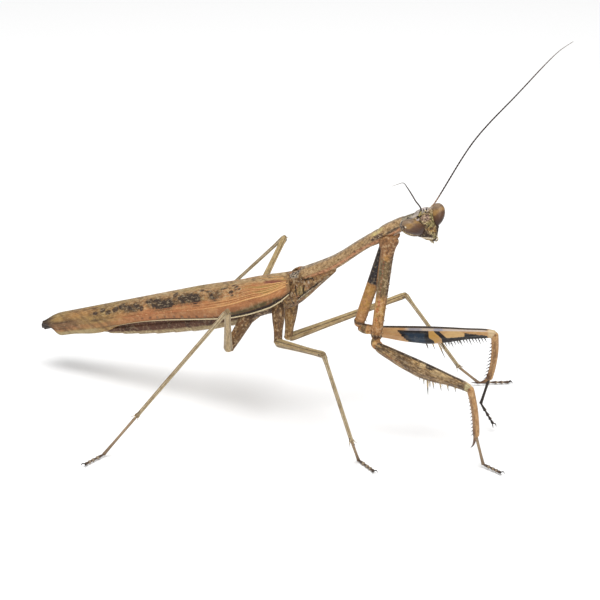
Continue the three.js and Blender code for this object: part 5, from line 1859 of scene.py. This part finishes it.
def femur_spine_rows(side):
    """The inner spines of a raptorial femur, then its outer and long ones, as (root, tip, half thickness)."""
    femur, back, inner = femur_frame(side)

    def row(share, length, lean, across, fall=back):
        root = femur.at(share) + inner * across - back * (spined_edge(share) - 0.12)
        tip = root - fall * (length + 0.1) + femur.along * lean + inner * across * 0.6
        return root, tip, 0.055 + 0.035 * length

    inner_rows = [row(*place) for place in INNER_SPINES]
    outer_rows = [row(*place) for place in OUTER_SPINES]
    for share, length, across in LONG_SPINES:
        outer_rows.append(row(share, length, LONG_SPINE_LEAN[side] * length, across, UP))
    return inner_rows, outer_rows


def make_fore_femur(side):
    femur, back, _ = femur_frame(side)
    skin = tube(
        stretch(femur, 0, 0.3), FORE_FEMUR_RINGS, up=back, around=96, steps=260, blunt=0.25,
        relief=fore_femur_relief, inner=inner_sign(back, femur.along, side),
    )
    skin_piece(f"fore_femur_{side}", skin, FEMUR_FINISH, "fore_femur")
    inner_rows, outer_rows = femur_spine_rows(side)
    spines(f"fore_femur_inner_spines_{side}", inner_rows, DARK_SPINE_FINISH, "fore_femur", rings=8)
    spines(f"fore_femur_outer_spines_{side}", outer_rows, SPINE_FINISH, "fore_femur", rings=8)


TIBIA_SPINES = 22
TIBIA_BOW = 0.16  # how far the middle of a raptorial tibia bends away from its femur

# The curve of each raptorial claw from the end of its tibia: ahead, and down along the tibia.
CLAW_BENDS = {
    "right": [(-0.02, -0.5), (-0.12, 0.0), (-0.34, 0.7), (-0.66, 1.35), (-1.05, 1.8)],
    "left": [(-0.02, -0.5), (-0.14, 0.0), (-0.5, 0.42), (-1.1, 0.72), (-1.8, 0.8)],
}


def make_fore_tibia(side):
    femur, tibia = bones_of("fore", side, "femur", "tibia")
    rings = [
        (0, 0.25, 0.25, 0.1), (0.06, 0.34, 0.38, 0.15), (0.3, 0.3, 0.37, 0.2),
        (0.7, 0.29, 0.33, 0.15), (0.93, 0.3, 0.33, 0.05), (1, 0.22, 0.24),
    ]
    front = away(femur.along, tibia.along)
    relief = lambda share, across, ahead: 0.05 * bump_at(np.abs(across), 0.55, 0.25) * (ahead < 0)
    inner = inner_sign(femur.along, tibia.along, side)
    bowed = Path(
        tibia.start - tibia.along * 0.1,
        tibia.at(0.5) + front * TIBIA_BOW,
        tibia.end + tibia.along * 0.1,
    )
    skin = tube(bowed, rings, up=femur.along, around=56, steps=160, blunt=0.2, relief=relief, inner=inner)
    claw_points = [tibia.end + front * ahead + tibia.along * below for ahead, below in CLAW_BENDS[side]]
    claw_rings = [(0, 0.24, 0.26), (0.35, 0.15, 0.18), (0.7, 0.08, 0.1), (1, 0.02, 0.02)]
    claw = tube(Path(*claw_points), claw_rings, up=front, around=24, steps=60, blunt=0.03)
    claw.places[:, 0] += 1
    skin_piece(f"fore_tibia_{side}", skin + claw, TIBIA_FINISH, "fore_tibia")
    across = np.cross(front, tibia.along)
    rows = []
    for number in range(TIBIA_SPINES):
        edge = 1 if number % 2 else -1
        share = 0.2 + number * 0.036
        length = between(number / (TIBIA_SPINES - 1), 0.32, 0.8)
        root = tibia.at(share) + front * TIBIA_BOW * math.sin(math.pi * share)
        root = root - front * 0.1 + across * 0.15 * edge
        tip = root - front * length * 0.75 + tibia.along * length * 0.75
        rows.append((root, tip, 0.06))
    spines(f"fore_tibia_spines_{side}", rows, DARK_SPINE_FINISH, "fore_tibia")


WALKING_FEMUR_RINGS = [
    (0, 0.36, 0.36), (0.03, 0.46, 0.44), (0.12, 0.42, 0.42), (0.4, 0.36, 0.35), (0.8, 0.3, 0.3),
    (0.94, 0.31, 0.33), (0.98, 0.28, 0.31), (1, 0.2, 0.22),
]
WALKING_TIBIA_RINGS = [
    (0, 0.2, 0.2), (0.02, 0.25, 0.25), (0.12, 0.19, 0.19), (0.95, 0.18, 0.18), (1, 0.2, 0.2),
]
# How far a walking femur reaches past its knee.
KNEE_REACH = {"mid": 0.2, "hind": 0.0}
# The spurs round the end of a walking tibia, by their turn about it.
SPUR_TURNS = (0.4, 1.3, 2.6, 4.2)


def walking_relief(share, side, back):
    """Fine keels along the limb, and a lobe on each side of the knee."""
    keels = 0.03 * np.cos(np.arctan2(back, side) * 6) * eased(share / 0.06) * eased((1 - share) / 0.06)
    lobes = 0.07 * bump_at(share, 0.955, 0.03) * eased((np.abs(side) - 0.5) / 0.3) * eased((0.4 - back) / 0.5)
    return keels + lobes


def tibia_relief(share, side, back):
    return 0.02 * np.cos(np.arctan2(back, side) * 6) + 0.05 * bump_at(share, 0.985, 0.02)


def make_walking_leg(kind, side):
    femur, tibia = bones_of(kind, side, "femur", "tibia")
    knee = KNEE_REACH[kind]
    skin = tube(
        stretch(femur, 0, knee), WALKING_FEMUR_RINGS, around=56, steps=220, blunt=0.2,
        relief=walking_relief, inner=inner_sign(UP, femur.along, side),
    )
    skin_piece(f"{kind}_femur_{side}", skin, LEG_FINISH, "walking_leg")
    skin = tube(
        stretch(tibia, knee - 0.15, 0.05), WALKING_TIBIA_RINGS, up=FORWARD, around=48, steps=200, blunt=0.1,
        relief=tibia_relief,
    )
    skin_piece(f"{kind}_tibia_{side}", skin, SHIN_FINISH, "walking_leg")
    rows = []
    sideways = away(np.cross(UP, tibia.along), tibia.along)
    ahead = np.cross(tibia.along, sideways)
    for turn in SPUR_TURNS:
        out = sideways * math.cos(turn) + ahead * math.sin(turn)
        root = tibia.end - tibia.along * 0.12 + out * 0.17
        rows.append((root, root + tibia.along * 0.5 + out * 0.3, 0.05))
    knee_side = away(np.cross(femur.along, UP), femur.along)
    for edge in (-1, 1):
        root = femur.end + knee_side * 0.22 * edge - UP * 0.12
        rows.append((root, root + femur.along * 0.35 + knee_side * 0.12 * edge - UP * 0.18, 0.05))
    spines(f"{kind}_spurs_{side}", rows, SPINE_FINISH, "walking_leg")


TOE_SHARES = [0.0, 0.36, 0.6, 0.78, 1.0]
CLAW_RINGS = [(0, 0.06, 0.06), (0.5, 0.05, 0.05), (1, 0.012, 0.012)]


def foot_rings():
    """Four short joints, each narrow where it starts and flared where the next one hangs."""
    rings = []
    for start, end in zip(TOE_SHARES, TOE_SHARES[1:]):
        gap = (end - start) * 0.06
        flare = start + 0.75 * (end - start)
        rings += [(start + gap, 0.09, 0.1), (flare, 0.15, 0.15), (end - gap, 0.19, 0.17)]
    rings[-1] = (1.0, 0.12, 0.12)
    return rings


def make_tarsus(kind, side):
    basitarsus, toes = bones_of(kind, side, "basitarsus", "toes")
    first = tube(
        stretch(basitarsus, 0, 0.06),
        [(0, 0.12, 0.12), (0.06, 0.15, 0.15), (0.5, 0.14, 0.14), (0.9, 0.16, 0.16), (1, 0.2, 0.19)],
        up=FORWARD, around=24, steps=80, blunt=0.08, inner=inner_sign(FORWARD, basitarsus.along, side),
    )
    lifted_to = toes.end + UP * 0.06
    inner = inner_sign(UP, toes.along, side)
    rest = tube(Path(toes.start, lifted_to), foot_rings(), around=28, steps=140, blunt=0.08, inner=inner)
    rest.places[:, 0] += 1
    flat = unit(np.cross(UP, toes.along))
    foot = first + rest
    for edge in (-1, 1):
        claw = Path(
            lifted_to - toes.along * 0.05 + flat * 0.05 * edge,
            lifted_to + toes.along * 0.16 + flat * 0.2 * edge + UP * 0.1,
            lifted_to + toes.along * 0.36 + flat * 0.24 * edge - UP * 0.08,
        )
        hook = tube(claw, CLAW_RINGS, around=14, steps=24, blunt=0.02)
        hook.places[:, 0] += 2
        foot = foot + hook
    foot.points[:, 2] = np.maximum(foot.points[:, 2], -SHIFT[2])  # flat on the floor
    finish = FORE_TARSUS_FINISH if kind == "fore" else TARSUS_FINISH
    skin_piece(f"{kind}_tarsus_{side}", foot, finish, "tarsus")


def make_forelegs():
    for side in SIDES:
        make_coxa("fore", side)
        make_coxa_teeth(side)
        make_trochanter(side)
        make_fore_femur(side)
        make_fore_tibia(side)
        make_tarsus("fore", side)


def make_walking_legs():
    for kind in ("mid", "hind"):
        for side in SIDES:
            make_coxa(kind, side)
            make_walking_leg(kind, side)
            make_tarsus(kind, side)


# ---- stage ----
CAMERA_TARGET = np.array([-0.69, 0, 12.33])
CAMERA_AZIMUTH = math.radians(28.1)
CAMERA_RISE = math.radians(19.05)
CAMERA_DISTANCE = 300
CAMERA_LENS = 174.2
CAMERA_CLIP = (0.01, 20)  # in metres
FLOOR_SIDE = 3000
LIT_MIDDLE = (0, 0, 15)
SKY_STRENGTH = 0.475


def make_camera():
    lens = bpy.data.cameras.new("camera")
    lens.lens = CAMERA_LENS
    lens.clip_start, lens.clip_end = CAMERA_CLIP
    camera = new_object("camera", lens)
    flat = math.cos(CAMERA_RISE)
    out = np.array([math.sin(CAMERA_AZIMUTH) * flat, -math.cos(CAMERA_AZIMUTH) * flat, math.sin(CAMERA_RISE)])
    camera.location = (CAMERA_TARGET + SHIFT + out * CAMERA_DISTANCE) * MM
    camera.rotation_euler = Vector(out).to_track_quat("Z", "Y").to_euler()
    bpy.context.scene.camera = camera


def make_floor():
    half = FLOOR_SIDE / 2 * MM
    mesh = bpy.data.meshes.new("floor")
    corners = [(-half, -half, 0), (half, -half, 0), (half, half, 0), (-half, half, 0)]
    mesh.from_pydata(corners, [], [(0, 1, 2, 3)])
    floor = new_object("floor", mesh)
    material = bpy.data.materials.new("floor")
    material.use_nodes = True
    shader = material.node_tree.nodes["Principled BSDF"]
    shader.inputs["Base Color"].default_value = colour("f7f7f7")
    shader.inputs["Roughness"].default_value = 0.9
    shader.inputs["Specular IOR Level"].default_value = 0.1
    mesh.materials.append(material)


def make_light(name, place, side, watts):
    lamp = bpy.data.lights.new(name, "AREA")
    lamp.shape = "DISK"
    lamp.size = side * MM
    lamp.energy = watts
    light = new_object(name, lamp)
    light.location = Vector(place) * MM
    light.rotation_euler = (Vector(place) - Vector(LIT_MIDDLE)).to_track_quat("Z", "Y").to_euler()


def make_studio():
    world = bpy.data.worlds.new("studio")
    world.use_nodes = True
    sky = world.node_tree.nodes["Background"].inputs
    sky["Color"].default_value = (1, 1, 1, 1)
    sky["Strength"].default_value = SKY_STRENGTH
    bpy.context.scene.world = world
    bpy.context.scene.view_settings.view_transform = "Standard"
    make_light("overhead", (30, -60, 420), 450, 1.75)
    make_light("front", (260, -330, 240), 220, 0.62)


def make_everything():
    for make in (
        make_head, make_eyes, make_antennae, make_mouthparts, make_neck, make_pronotum, make_thorax,
        make_abdomen, make_cerci, make_tegmina, make_hindwings, make_forelegs, make_walking_legs,
        make_floor, make_studio, make_camera,
    ):
        make()


make_everything()
